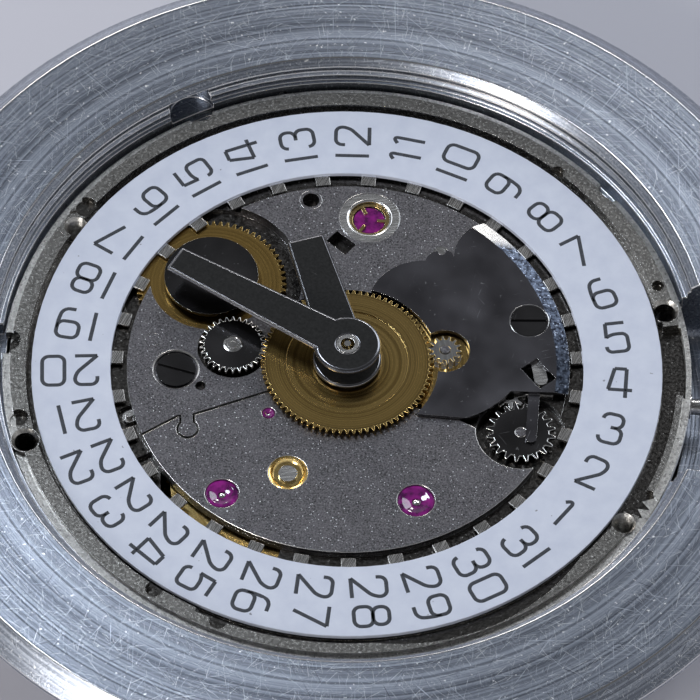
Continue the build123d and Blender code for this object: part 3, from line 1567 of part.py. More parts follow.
with BuildPart() as shock_springs:
    for outer, inward in shock_sides:
        spring_level, cap_level, hole_level = shock_levels(outer, inward)
        low = min(spring_level, spring_level + inward * shock_spring_thickness)
        with BuildSketch(Plane.XY.offset(low)) as lyre:
            with Locations(balance_place):
                Circle(shock_seat_radius - fit_gap)
                Circle(shock_seat_radius - fit_gap - shock_spring_width, mode=Mode.SUBTRACT)
                with PolarLocations(0, shock_spring_arms):
                    with Locations((shock_seat_radius - shock_spring_width / 2 - shock_arm_length / 2, 0)):
                        Rectangle(shock_arm_length, shock_spring_width)
        extrude(lyre.sketch, amount=shock_spring_thickness, dir=(0, 0, 1))
finish(shock_springs, "shock_springs")


# Bridges
def hull_face(places, radii, level):
    """The convex outline around discs at several places."""
    with BuildSketch(Plane.XY.offset(level)) as profile:
        with BuildSketch(mode=Mode.PRIVATE) as discs:
            for hull_place, hull_radius in zip(places, radii):
                with Locations(hull_place):
                    Circle(hull_radius)
        make_hull(discs.edges())
    return profile.sketch


def add_hull(places, radii, low, high, mode=Mode.ADD):
    extrude(hull_face(places, radii, low), amount=high - low, dir=(0, 0, 1), mode=mode)


def screw_hole(place, bridge_low, head_height, top):
    cut_disc(place, screw_shank_radius + fit_gap, bridge_low, top)
    cut_disc(place, screw_head_radius + fit_gap, bridge_low, bridge_low + head_height)


def cut_auto_screw_holes():
    for auto_post_place in auto_post_places:
        cut_disc(auto_post_place, screw_shank_radius + fit_gap, bridge_bottom, bridge_top)


train_hull_places = (centre, third_place, escape_place) + train_post_places
with BuildPart() as train_bridge:
    add_hull(train_hull_places, train_hull_radii, bridge_bottom, bridge_top)
    for post_place in train_post_places:
        add_disc(post_place, post_radius, bridge_top, plate_bottom)
        screw_hole(post_place, bridge_bottom, screw_head_height, plate_bottom)
    cut_disc(balance_place, balance_radius + plate_gap * 2, bridge_bottom, bridge_top)
    cut_auto_screw_holes()
    for jewel_place in (centre, third_place, escape_place):
        cut_disc(jewel_place, jewel_radius, bridge_top - jewel_thickness, bridge_top)
        cut_disc(jewel_place, pivot_passage_radius, bridge_bottom, bridge_top)
finish(train_bridge, "train_bridge")

barrel_hull_places = (barrel_place, crown_place, click_pivot_place) + barrel_post_places
with BuildPart() as barrel_bridge:
    add_hull(barrel_hull_places, barrel_hull_radii, bridge_bottom, bridge_top)
    add_hull(
        train_hull_places,
        [radius + bridge_seam for radius in train_hull_radii],
        bridge_bottom,
        bridge_top,
        Mode.SUBTRACT,
    )
    for post_place in barrel_post_places:
        add_disc(post_place, post_radius, bridge_top, plate_bottom)
        screw_hole(post_place, bridge_bottom, screw_head_height, plate_bottom)
    cut_auto_screw_holes()
    cut_disc(barrel_place, barrel_pivot_radius + fit_gap, bridge_bottom, bridge_top)
    cut_disc(crown_place, crown_arbor_radius + fit_gap, bridge_bottom, bridge_top)
    add_disc(winding_middle_place, crown_arbor_radius, winding_bottom, bridge_bottom)
    add_disc(click_pivot_place, stud_radius, winding_bottom, bridge_bottom)
finish(barrel_bridge, "barrel_bridge")

with BuildPart() as balance_cock:
    add_hull(
        (balance_place, cock_post_place), (cock_setting_radius, cock_post_end_radius), cock_bottom, cock_top
    )
    add_disc(cock_post_place, post_radius, cock_top, plate_bottom)
    screw_hole(cock_post_place, cock_bottom, screw_head_height, plate_bottom)
    cut_disc(balance_place, shock_radius, cock_bottom, cock_top)
    hairspring_reach = hairspring_inner + hairspring_turns * hairspring_pitch + hairspring_strip
    stud_reach = hairspring_reach + fit_gap / 2 + hairspring_stud_radius
    add_disc(polar(stud_reach, 0, balance_place), hairspring_stud_radius, cock_top, hairspring_top)
finish(balance_cock, "balance_cock")

with BuildPart() as regulator:
    regulator_bottom = cock_bottom - regulator_thickness
    add_disc(balance_place, shock_radius + regulator_ring_width, regulator_bottom, cock_bottom - fit_gap)
    add_bar(
        polar(shock_radius + regulator_ring_width / 2, regulator_angle, balance_place),
        polar(regulator_length, regulator_angle, balance_place),
        regulator_arm_width,
        regulator_bottom,
        cock_bottom - fit_gap,
    )
    cut_disc(balance_place, shock_radius + fit_gap, regulator_bottom, cock_bottom)
finish(regulator, "regulator")

with BuildPart() as pallet_bridge:
    pallet_bridge_low = pallet_bridge_top - pallet_bridge_thickness
    add_bar(
        pallet_post_places[0],
        pallet_post_places[1],
        pallet_bridge_width,
        pallet_bridge_low,
        pallet_bridge_top,
    )
    for post_place in pallet_post_places:
        add_disc(post_place, pallet_bridge_width / 2, pallet_bridge_top, plate_bottom)
        cut_disc(post_place, screw_shank_radius + fit_gap, pallet_bridge_low, plate_bottom)
    cut_disc(pallet_place, pallet_jewel_radius, pallet_bridge_low, pallet_bridge_top)
finish(pallet_bridge, "pallet_bridge")

with BuildPart() as bearing_jewels:
    for jewel_place, large_jewel_radius in zip(large_jewel_places, large_jewel_radii):
        add_jewel(jewel_place, large_jewel_radius, jewel_hole_radius, cover_bottom, cover_top - jewel_drop)
    add_jewel(
        small_jewel_place, small_jewel_radius, jewel_hole_radius / 2, cover_bottom, cover_top - jewel_drop
    )
    for jewel_place in (third_place, escape_place, pallet_place):
        add_jewel(jewel_place, jewel_radius, pivot_radius + running_gap, plate_bottom, train_high)
    for jewel_place in (centre, third_place, escape_place):
        add_jewel(jewel_place, jewel_radius, pivot_radius + running_gap, train_low, bridge_top)
    add_jewel(
        pallet_place, pallet_jewel_radius, pivot_radius + running_gap, pallet_bridge_low, pallet_bridge_top
    )
finish(bearing_jewels, "bearing_jewels")

# Automatic winding
reverser_turn = mesh_turn(centre, rotor_gear_teeth, 0, first_reverser_place, reverser_teeth)
second_reverser_turn = mesh_turn(
    first_reverser_place, reverser_teeth, reverser_turn, second_reverser_place, reverser_teeth
)
reduction_pinion_turn = mesh_turn(
    barrel_place, ratchet_teeth, ratchet_turn, reduction_place, reduction_pinion_teeth
)
reversing_turn = mesh_turn(
    reduction_place, reduction_teeth, reduction_pinion_turn, second_reverser_place, reversing_pinion_teeth
)
with BuildPart() as reduction_wheel:
    add_gear(
        reduction_place, reduction_teeth, auto_module, reduction_pinion_turn, reduction_bottom, reduction_top
    )
    add_gear(
        reduction_place,
        reduction_pinion_teeth,
        winding_module,
        reduction_pinion_turn,
        reduction_top,
        winding_top,
    )
    add_disc(reduction_place, stud_radius, auto_bridge_bottom + fit_gap, bridge_bottom + jewel_thickness)
finish(reduction_wheel, "reduction_wheel")

with BuildPart() as reversing_pinion:
    add_gear(
        second_reverser_place,
        reversing_pinion_teeth,
        auto_module,
        reversing_turn,
        reduction_bottom,
        reduction_top,
    )
    cut_disc(second_reverser_place, stud_radius + fit_gap, reduction_bottom, reduction_top)
finish(reversing_pinion, "reversing_pinion")

with BuildPart() as first_reversing_wheel:
    add_gear(
        first_reverser_place, reverser_teeth, auto_module, reverser_turn, reverser_bottom, reverser_top
    )
    add_disc(first_reverser_place, stud_radius, reverser_top, auto_bridge_top)
finish(first_reversing_wheel, "reversing_wheel_1")

with BuildPart() as second_reversing_wheel:
    add_gear(
        second_reverser_place,
        reverser_teeth,
        auto_module,
        second_reverser_turn,
        reverser_bottom,
        reverser_top,
    )
    add_disc(second_reverser_place, stud_radius, reverser_top, reduction_top + fit_gap)
finish(second_reversing_wheel, "reversing_wheel_2")

auto_hull_places = (
    centre,
    first_reverser_place,
    second_reverser_place,
    reduction_place,
) + auto_post_places
with BuildPart() as automatic_bridge:
    add_hull(auto_hull_places, auto_hull_radii, auto_bridge_bottom, auto_bridge_top)
    for post_place in auto_post_places:
        add_disc(post_place, post_radius, auto_bridge_top, bridge_bottom)
        screw_hole(post_place, auto_bridge_bottom, auto_screw_head, bridge_bottom)
    for wheel_place in (first_reverser_place, second_reverser_place, reduction_place):
        cut_disc(wheel_place, stud_radius + fit_gap, auto_bridge_bottom, auto_bridge_top)
    cut_disc(centre, screw_shank_radius, auto_bridge_bottom, auto_bridge_top)
finish(automatic_bridge, "automatic_bridge")

# The rotor's ball bearing: a hub with its own screw, balls, and a race that carries the rotor's gear
with BuildPart() as rotor_hub:
    add_screw(
        centre,
        hub_radius,
        rotor_bottom,
        auto_bridge_bottom,
        rotor_bottom,
        auto_bridge_top,
        slot_turn_rate,
        False,
    )
finish(rotor_hub, "rotor_hub")

ball_radius = (race_radius - hub_radius) / 2 - running_gap
ball_level = auto_bridge_bottom - fit_gap - ball_radius
with BuildPart() as rotor_balls:
    for ball_index in range(ball_count):
        ball_place = polar((race_radius + hub_radius) / 2, ball_index * 360 / ball_count)
        with Locations((ball_place[0], ball_place[1], ball_level)):
            Sphere(ball_radius)
finish(rotor_balls, "rotor_balls")

with BuildPart() as rotor_plate:
    add_sector(rotor_weight_radius, rotor_start_angle, rotor_end_angle, rotor_bottom, rotor_top)
    add_disc(centre, rotor_boss_radius, rotor_bottom, rotor_top)
    window_middle = (rotor_start_angle + rotor_end_angle) / 2
    for window_start, window_end in (
        (rotor_start_angle + rotor_window_gap_angle, window_middle - rotor_window_gap_angle / 2),
        (window_middle + rotor_window_gap_angle / 2, rotor_end_angle - rotor_window_gap_angle),
    ):
        with BuildSketch(Plane.XY.offset(rotor_bottom)) as rotor_window:
            add(sector_face(rotor_window_outer, window_start, window_end, rotor_bottom))
            Circle(rotor_window_inner, mode=Mode.SUBTRACT)
        extrude(rotor_window.sketch, amount=rotor_thickness, dir=(0, 0, 1), mode=Mode.SUBTRACT)
    add_gear(centre, rotor_gear_teeth, auto_module, 0, reverser_bottom, reverser_top)
    add_disc(centre, race_radius + race_wall, rotor_top, reverser_bottom)
    cut_disc(centre, race_radius, rotor_bottom, reverser_top)
finish(rotor_plate, "rotor_plate")

with BuildPart() as rotor_weight:
    add_sector(rotor_radius, rotor_start_angle, rotor_end_angle, rotor_weight_bottom, rotor_weight_top)
    cut_disc(centre, rotor_weight_radius, rotor_weight_bottom, rotor_weight_top)
finish(rotor_weight, "rotor_weight")

# Screws: the bridges' heads face the train side, the two cover screws face the dial side
with BuildPart() as plate_screws:
    for screw_places, head_radius, head_bottom, head_height, shank_top in (
        (
            train_post_places + barrel_post_places,
            screw_head_radius,
            bridge_bottom,
            screw_head_height,
            tap_top,
        ),
        ((cock_post_place,), screw_head_radius, cock_bottom, screw_head_height, tap_top),
        (
            pallet_post_places,
            pallet_bridge_width / 2,
            pallet_bridge_low - auto_screw_head,
            auto_screw_head,
            tap_top,
        ),
        (
            auto_post_places,
            screw_head_radius,
            auto_bridge_bottom,
            auto_screw_head,
            bridge_bottom + screw_head_height,
        ),
    ):
        for screw_place in screw_places:
            add_screw(
                screw_place,
                head_radius,
                head_bottom,
                head_bottom + head_height,
                head_bottom + head_height,
                shank_top,
                screw_place[0] * slot_turn_rate,
                False,
            )
    for screw_place, head_radius, head_top, slot_angle in (
        (left_screw_place, left_screw_radius, cover_top, left_slot_angle),
        (setting_screw_place, right_screw_radius, setting_cover_top, right_slot_angle),
    ):
        head_bottom = head_top - cover_screw_head
        add_screw(
            screw_place, head_radius, head_bottom, head_top, pocket_floor, head_bottom, slot_angle, True
        )
finish(plate_screws, "plate_screws")
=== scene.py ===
import json
import math
import bmesh
import bpy
import numpy as np
from mathutils import Matrix, Vector


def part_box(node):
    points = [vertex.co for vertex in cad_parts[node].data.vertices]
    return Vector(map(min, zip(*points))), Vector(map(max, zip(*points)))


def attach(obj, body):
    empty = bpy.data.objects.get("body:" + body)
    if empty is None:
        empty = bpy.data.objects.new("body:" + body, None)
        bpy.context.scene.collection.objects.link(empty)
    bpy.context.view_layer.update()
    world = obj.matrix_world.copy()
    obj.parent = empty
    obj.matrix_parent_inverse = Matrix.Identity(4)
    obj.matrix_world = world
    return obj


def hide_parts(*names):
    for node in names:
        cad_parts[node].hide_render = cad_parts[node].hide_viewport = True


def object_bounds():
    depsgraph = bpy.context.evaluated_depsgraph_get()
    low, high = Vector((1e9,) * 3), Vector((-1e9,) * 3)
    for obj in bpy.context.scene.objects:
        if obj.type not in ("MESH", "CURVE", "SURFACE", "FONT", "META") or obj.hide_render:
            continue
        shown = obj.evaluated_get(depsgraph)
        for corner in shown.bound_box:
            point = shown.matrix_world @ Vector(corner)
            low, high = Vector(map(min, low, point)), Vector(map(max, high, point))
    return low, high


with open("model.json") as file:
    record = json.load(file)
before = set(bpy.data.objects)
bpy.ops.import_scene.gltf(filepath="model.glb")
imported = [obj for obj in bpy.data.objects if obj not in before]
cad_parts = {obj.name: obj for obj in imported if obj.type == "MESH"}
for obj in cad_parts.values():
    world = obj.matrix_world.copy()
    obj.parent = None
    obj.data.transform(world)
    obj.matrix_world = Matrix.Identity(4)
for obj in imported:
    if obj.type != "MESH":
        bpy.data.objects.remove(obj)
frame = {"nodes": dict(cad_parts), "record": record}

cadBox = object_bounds()
mm = 0.001
record = frame["record"]
bodyOf = {node: body for body, nodes in record["behaviour"]["bodies"].items() for node in nodes}
scene = bpy.context.scene


# finishes: nodes of a material, all read in object coordinates
def newFinish(name, color, metallic, roughness, **sockets):
    finish = bpy.data.materials.new(name)
    finish.use_nodes = True
    shader = shaderOf(finish)
    shader.inputs["Base Color"].default_value = (*color, 1)
    shader.inputs["Metallic"].default_value = metallic
    shader.inputs["Roughness"].default_value = roughness
    for socket, value in sockets.items():
        shader.inputs[socket.replace("_", " ")].default_value = value
    return finish


def addNode(finish, kind, **settings):
    node = finish.node_tree.nodes.new(kind)
    for key, value in settings.items():
        if key in node.inputs:
            node.inputs[key].default_value = value
        else:
            setattr(node, key, value)
    return node


def wire(finish, start, end):
    finish.node_tree.links.new(start, end)


def shaderOf(finish):
    return finish.node_tree.nodes["Principled BSDF"]


def placeNode(finish, center=(0, 0, 0), turn=0, stretch=(1, 1, 1)):
    # object coordinates in millimetres, centred on a place
    coords = addNode(finish, "ShaderNodeTexCoord")
    mapping = addNode(finish, "ShaderNodeMapping", vector_type="TEXTURE")
    mapping.inputs["Location"].default_value = [value * mm for value in center]
    mapping.inputs["Rotation"].default_value = (0, 0, math.radians(turn))
    mapping.inputs["Scale"].default_value = [mm / value for value in stretch]
    wire(finish, coords.outputs["Object"], mapping.inputs["Vector"])
    return mapping.outputs["Vector"]


def turnedPlace(finish, center):
    # distance from the lathe's axis as X, height as Z
    place = placeNode(finish, (*center, 0))
    split = addNode(finish, "ShaderNodeSeparateXYZ")
    length = addNode(finish, "ShaderNodeVectorMath", operation="LENGTH")
    flat = addNode(finish, "ShaderNodeVectorMath", operation="MULTIPLY")
    flat.inputs[1].default_value = (1, 1, 0)
    join = addNode(finish, "ShaderNodeCombineXYZ")
    wire(finish, place, split.inputs[0])
    wire(finish, place, flat.inputs[0])
    wire(finish, flat.outputs[0], length.inputs[0])
    wire(finish, length.outputs["Value"], join.inputs["X"])
    wire(finish, split.outputs["Z"], join.inputs["Z"])
    return join.outputs[0]


def noiseAt(finish, place, scale, detail, rough):
    noise = addNode(finish, "ShaderNodeTexNoise", Scale=scale, Detail=detail, Roughness=rough)
    wire(finish, place, noise.inputs["Vector"])
    return noise.outputs["Fac"]


def rampOf(finish, value, span, lowColor=(0, 0, 0), highColor=(1, 1, 1)):
    # without colours it is a mask, black below the span and white above it
    ramp = addNode(finish, "ShaderNodeValToRGB")
    for stop, position, color in zip(ramp.color_ramp.elements, span, (lowColor, highColor)):
        stop.position = position
        stop.color = (*color, 1)
    wire(finish, value, ramp.inputs[0])
    return ramp.outputs[0]


def mixColors(finish, factor, first, second, blend="MIX"):
    mix = addNode(finish, "ShaderNodeMix", data_type="RGBA", blend_type=blend)
    for value, socket in ((factor, mix.inputs[0]), (first, mix.inputs[6]), (second, mix.inputs[7])):
        if hasattr(value, "node"):
            wire(finish, value, socket)
        else:
            socket.default_value = value if socket == mix.inputs[0] else (*value, 1)
    return mix.outputs[2]


def addBump(finish, height, depth):
    # depth in millimetres
    shader = shaderOf(finish)
    bump = addNode(finish, "ShaderNodeBump", Strength=1.0, Distance=depth * mm)
    wire(finish, height, bump.inputs["Height"])
    wire(finish, bump.outputs[0], shader.inputs["Normal"])


def setColor(finish, color):
    wire(finish, color, shaderOf(finish).inputs["Base Color"])


def setRoughness(finish, value, low, high):
    spread = addNode(finish, "ShaderNodeMapRange")
    spread.inputs["To Min"].default_value = low
    spread.inputs["To Max"].default_value = high
    wire(finish, value, spread.inputs["Value"])
    wire(finish, spread.outputs[0], shaderOf(finish).inputs["Roughness"])


scratchLook = {"depthScale": 6, "noise": (1.0, 2, 0.5), "edge": 0.03, "fineness": 22}


def addScratches(finish, color, tint, turns, length, threshold, fineness=scratchLook["fineness"]):
    # fine straight scratches in a few directions; a higher threshold leaves fewer
    for turn in turns:
        place = placeNode(finish, turn=turn, stretch=(length, fineness, scratchLook["depthScale"]))
        lines = noiseAt(finish, place, *scratchLook["noise"])
        mask = rampOf(finish, lines, (threshold, threshold + scratchLook["edge"]))
        color = mixColors(finish, mask, color, tint)
    return color


latheLook = {
    "groove": (4, 0.7),
    "grooveSpan": (0.35, 0.65),
    "band": (1.6, 2, 0.5),
    "bandSpan": (0.3, 0.7),
    "broad": 0.35,
    # scale and depth of the grooves
    "brightGrooves": (9, 0.002),
    "brassGrooves": (12, 0.003),
    "smoother": 0.06,
    "rougher": 0.08,
}


def latheFinish(name, dark, light, roughness, grooves, depth, center=(0, 0), broad=latheLook["broad"]):
    finish = newFinish(name, light, 1.0, roughness)
    turned = turnedPlace(finish, center)
    fine = noiseAt(finish, turned, grooves, *latheLook["groove"])
    bands = rampOf(finish, noiseAt(finish, turned, *latheLook["band"]), latheLook["bandSpan"], dark, light)
    color = mixColors(finish, broad, rampOf(finish, fine, latheLook["grooveSpan"], dark, light), bands)
    addBump(finish, fine, depth)
    setRoughness(finish, fine, roughness - latheLook["smoother"], roughness + latheLook["rougher"])
    return finish, color


ringLook = {
    "dark": (0.10, 0.112, 0.14),
    "light": (0.44, 0.475, 0.55),
    "roughness": 0.30,
    "grooves": (11, 0.014),
    "broad": 0.2,
    # tint, headings in degrees, length, threshold and fineness
    "scratches": (
        ((0.95, 0.97, 1.0), (12, 34, 52, 81, 103, 129, 148), 0.7, 0.70, 40),
        ((0.62, 0.66, 0.74), (5, 61, 95, 140, 171), 0.35, 0.69, 30),
        ((0.06, 0.065, 0.08), (22, 67, 119, 160), 0.8, 0.70, 34),
    ),
    "specks": (6.5, 2, 0.5),
    "speckSpan": (0.70, 0.73),
}


def ringFinish(look):
    # turned aluminium: even concentric grooves, crossed by many short handling scratches
    colors, grooves = (look["dark"], look["light"]), look["grooves"]
    finish, color = latheFinish("turned aluminium", *colors, look["roughness"], *grooves, broad=look["broad"])
    for scratches in look["scratches"]:
        color = addScratches(finish, color, *scratches)
    specks = noiseAt(finish, placeNode(finish), *look["specks"])
    setColor(finish, mixColors(finish, rampOf(finish, specks, look["speckSpan"]), color, (1.0, 1.0, 1.0)))
    return finish


def brightFinish(name, dark, light, roughness):
    finish, color = latheFinish(name, dark, light, roughness, *latheLook["brightGrooves"])
    setColor(finish, color)
    return finish


def brassFinish(name, center, dark, light, roughness):
    finish, color = latheFinish(name, dark, light, roughness, *latheLook["brassGrooves"], center)
    setColor(finish, color)
    return finish


grainLook = {
    "fine": (3, 0.65),
    "fineSpan": (0.34, 0.62),
    "broad": (0.8, 3, 0.6),
    "broadSpan": (0.42, 0.72),
    "broadMost": (0.35, 0.35, 0.35),
    # painted glints: where, how fine and how many bright points are painted into the grain
    "paintedGlintCenter": (3, 7, 1),
    "paintedGlintScale": 0.9,
    "spark": (1, 0.5),
    "paintedGlintSpan": (0.70, 0.76),
    "smoother": 0.1,
    "rougher": 0.12,
}


def grainFinish(name, dark, light, spark, roughness, grain, depth):
    # blasted nickel: fine grain with painted glints, bright points painted into the colour, and a faint broad
    # mottling
    look = grainLook
    finish = newFinish(name, light, 1.0, roughness)
    place = placeNode(finish)
    fine = noiseAt(finish, place, grain, *look["fine"])
    broad = noiseAt(finish, place, *look["broad"])
    color = rampOf(finish, fine, look["fineSpan"], dark, light)
    mottle = rampOf(finish, broad, look["broadSpan"], highColor=look["broadMost"])
    color = mixColors(finish, mottle, color, light)
    # painted glints: bright points of the glint colour mixed into the grain's colour
    paintedGlintPlace = placeNode(finish, look["paintedGlintCenter"])
    points = noiseAt(finish, paintedGlintPlace, grain * look["paintedGlintScale"], *look["spark"])
    color = mixColors(finish, rampOf(finish, points, look["paintedGlintSpan"]), color, spark)
    addBump(finish, fine, depth)
    setRoughness(finish, fine, roughness - look["smoother"], roughness + look["rougher"])
    setColor(finish, color)
    return finish


polishLook = {
    "shade": (0.5, 2, 0.5),
    "shadeSpan": (0.3, 0.7),
    "darker": 0.8,
    "lighter": 1.25,
    "turns": (20, 75, 130),
    "scratchLength": 0.9,
    "scratchThreshold": 0.735,
    "dustCenter": (9, 4, 2),
    "dust": (7, 1, 0.5),
    "dustSpan": (0.755, 0.775),
    "dustColor": (0.6, 0.6, 0.62),
    "smoother": 0.7,
    "rougher": 1.5,
}


def polishFinish(name, color, roughness, tint):
    # mirror polish with handling marks and dust
    look = polishLook
    finish = newFinish(name, color, 1.0, roughness)
    tone = noiseAt(finish, placeNode(finish), *look["shade"])
    darker, lighter = ([value * share for value in color] for share in (look["darker"], look["lighter"]))
    base = rampOf(finish, tone, look["shadeSpan"], darker, lighter)
    base = addScratches(finish, base, tint, look["turns"], look["scratchLength"], look["scratchThreshold"])
    dust = noiseAt(finish, placeNode(finish, look["dustCenter"]), *look["dust"])
    base = mixColors(finish, rampOf(finish, dust, look["dustSpan"]), base, look["dustColor"])
    setRoughness(finish, tone, roughness * look["smoother"], roughness * look["rougher"])
    setColor(finish, base)
    return finish


speckledLook = {
    "color": (0.15, 0.17, 0.2),
    "plainRoughness": 0.2,
    "specks": (5.5, 4, 0.75),
    "speckSpan": (0.42, 0.62),
    "speckColors": ((0.012, 0.014, 0.02), (0.10, 0.12, 0.16)),
    # painted glints: bright bluish points on the bevel
    "glintPointCenter": (4, 1, 2),
    "points": (9, 2, 0.6),
    "glintPointSpan": (0.62, 0.70),
    "glintPointColor": (0.34, 0.38, 0.46),
    # the painted shade and the painted highlight run along Y, where 1 is this many millimetres from the
    # middle
    "fadeLength": 8,
    "paintedShadeSpan": (0.10, 0.62),
    "paintedShadeLeast": (0.30, 0.30, 0.30),
    "paintedHighlightSpan": (0.73, 0.78),
    "paintedHighlightColor": (0.36, 0.35, 0.34),
    "roughness": (0.12, 0.34),
}


def speckledFinish(look):
    # polished bevel: bluish specks with painted glints, painted shade that darkens its lower end, and a
    # painted highlight at its upper end
    finish = newFinish("speckled bevel", look["color"], 1.0, look["plainRoughness"])
    specks = noiseAt(finish, placeNode(finish), *look["specks"])
    color = rampOf(finish, specks, look["speckSpan"], *look["speckColors"])
    # painted glints: bright bluish points mixed into the specks
    points = noiseAt(finish, placeNode(finish, look["glintPointCenter"]), *look["points"])
    color = mixColors(finish, rampOf(finish, points, look["glintPointSpan"]), color, look["glintPointColor"])
    split = addNode(finish, "ShaderNodeSeparateXYZ")
    wire(finish, placeNode(finish, stretch=(1, 1 / look["fadeLength"], 1)), split.inputs[0])
    # painted shade: the lower end of the bevel is darkened
    lower = rampOf(finish, split.outputs["Y"], look["paintedShadeSpan"], look["paintedShadeLeast"])
    color = mixColors(finish, 1.0, color, lower, "MULTIPLY")
    # painted highlight: the upper end of the bevel is lightened
    upper = rampOf(finish, split.outputs["Y"], look["paintedHighlightSpan"])
    color = mixColors(finish, upper, color, look["paintedHighlightColor"])
    setRoughness(finish, specks, *look["roughness"])
    setColor(finish, color)
    return finish


brushedLook = {
    "stretch": (1.2, 30, 30),
    "lines": (1.0, 3, 0.6),
    "span": (0.3, 0.7),
    "depth": 0.002,
    "smoother": 0.08,
    "rougher": 0.1,
}


def brushedFinish(name, dark, light, turn, roughness):
    look = brushedLook
    finish = newFinish(name, light, 1.0, roughness)
    lines = noiseAt(finish, placeNode(finish, turn=turn, stretch=look["stretch"]), *look["lines"])
    addBump(finish, lines, look["depth"])
    setRoughness(finish, lines, roughness - look["smoother"], roughness + look["rougher"])
    setColor(finish, rampOf(finish, lines, look["span"], dark, light))
    return finish


rubyLook = {
    "color": (0.55, 0.02, 0.36),
    "roughness": 0.06,
    "sockets": {"IOR": 1.76, "Transmission_Weight": 0.35, "Coat_Weight": 0.6, "Coat_Roughness": 0.03},
    "cloud": (3.2, 2, 0.5),
    "span": (0.3, 0.7),
    "colors": ((0.085, 0.002, 0.085), (0.42, 0.02, 0.34)),
}


def rubyFinish(look):
    finish = newFinish("ruby", look["color"], 0.0, look["roughness"], **look["sockets"])
    cloud = noiseAt(finish, placeNode(finish), *look["cloud"])
    setColor(finish, rampOf(finish, cloud, look["span"], *look["colors"]))
    return finish


lacquerLook = {
    "color": (0.60, 0.64, 0.76),
    "roughness": 0.32,
    "sockets": {"Coat_Weight": 0.25, "Coat_Roughness": 0.12},
    "mottle": (1.3, 3, 0.6),
    "span": (0.3, 0.7),
    "colors": ((0.56, 0.60, 0.72), (0.63, 0.67, 0.78)),
    "dustCenter": (5, 2, 0),
    "dust": (4.2, 1, 0.5),
    "dustSpan": (0.80, 0.82),
    "dustColor": (0.25, 0.26, 0.3),
    "peel": (9, 2, 0.5),
    "peelDepth": 0.0015,
}


def lacquerFinish(look):
    finish = newFinish("date lacquer", look["color"], 0.0, look["roughness"], **look["sockets"])
    mottle = noiseAt(finish, placeNode(finish), *look["mottle"])
    color = rampOf(finish, mottle, look["span"], *look["colors"])
    dust = noiseAt(finish, placeNode(finish, look["dustCenter"]), *look["dust"])
    color = mixColors(finish, rampOf(finish, dust, look["dustSpan"]), color, look["dustColor"])
    addBump(finish, noiseAt(finish, placeNode(finish), *look["peel"]), look["peelDepth"])
    setColor(finish, color)
    return finish


inkLook = {
    "color": (0.018, 0.022, 0.032),
    "roughness": 0.45,
    "grain": (12, 2, 0.5),
    "span": (0.3, 0.7),
    "colors": ((0.012, 0.015, 0.022), (0.03, 0.035, 0.05)),
    "depth": 0.002,
}


def inkFinish(look):
    finish = newFinish("numeral ink", look["color"], 0.0, look["roughness"])
    grain = noiseAt(finish, placeNode(finish), *look["grain"])
    setColor(finish, rampOf(finish, grain, look["span"], *look["colors"]))
    addBump(finish, grain, look["depth"])
    return finish


handLook = {
    "color": (0.012, 0.012, 0.014),
    "roughness": 0.3,
    "sockets": {"Specular_IOR_Level": 0.22},
    "marks": (10, 3, 0.6),
    "span": (0.3, 0.75),
    "colors": ((0.009, 0.009, 0.009), (0.018, 0.018, 0.018)),
    "scratchTint": (0.11, 0.11, 0.11),
    "turns": (40, 95, 150),
    "scratchLength": 0.9,
    "scratchThreshold": 0.765,
    "depth": 0.003,
    "smoother": 0.05,
    "rougher": 0.08,
}


def handFinish(look):
    finish = newFinish("black hand", look["color"], 0.0, look["roughness"], **look["sockets"])
    marks = noiseAt(finish, placeNode(finish), *look["marks"])
    color = rampOf(finish, marks, look["span"], *look["colors"])
    color = addScratches(
        finish, color, look["scratchTint"], look["turns"], look["scratchLength"], look["scratchThreshold"]
    )
    addBump(finish, marks, look["depth"])
    setRoughness(finish, marks, look["roughness"] - look["smoother"], look["roughness"] + look["rougher"])
    setColor(finish, color)
    return finish
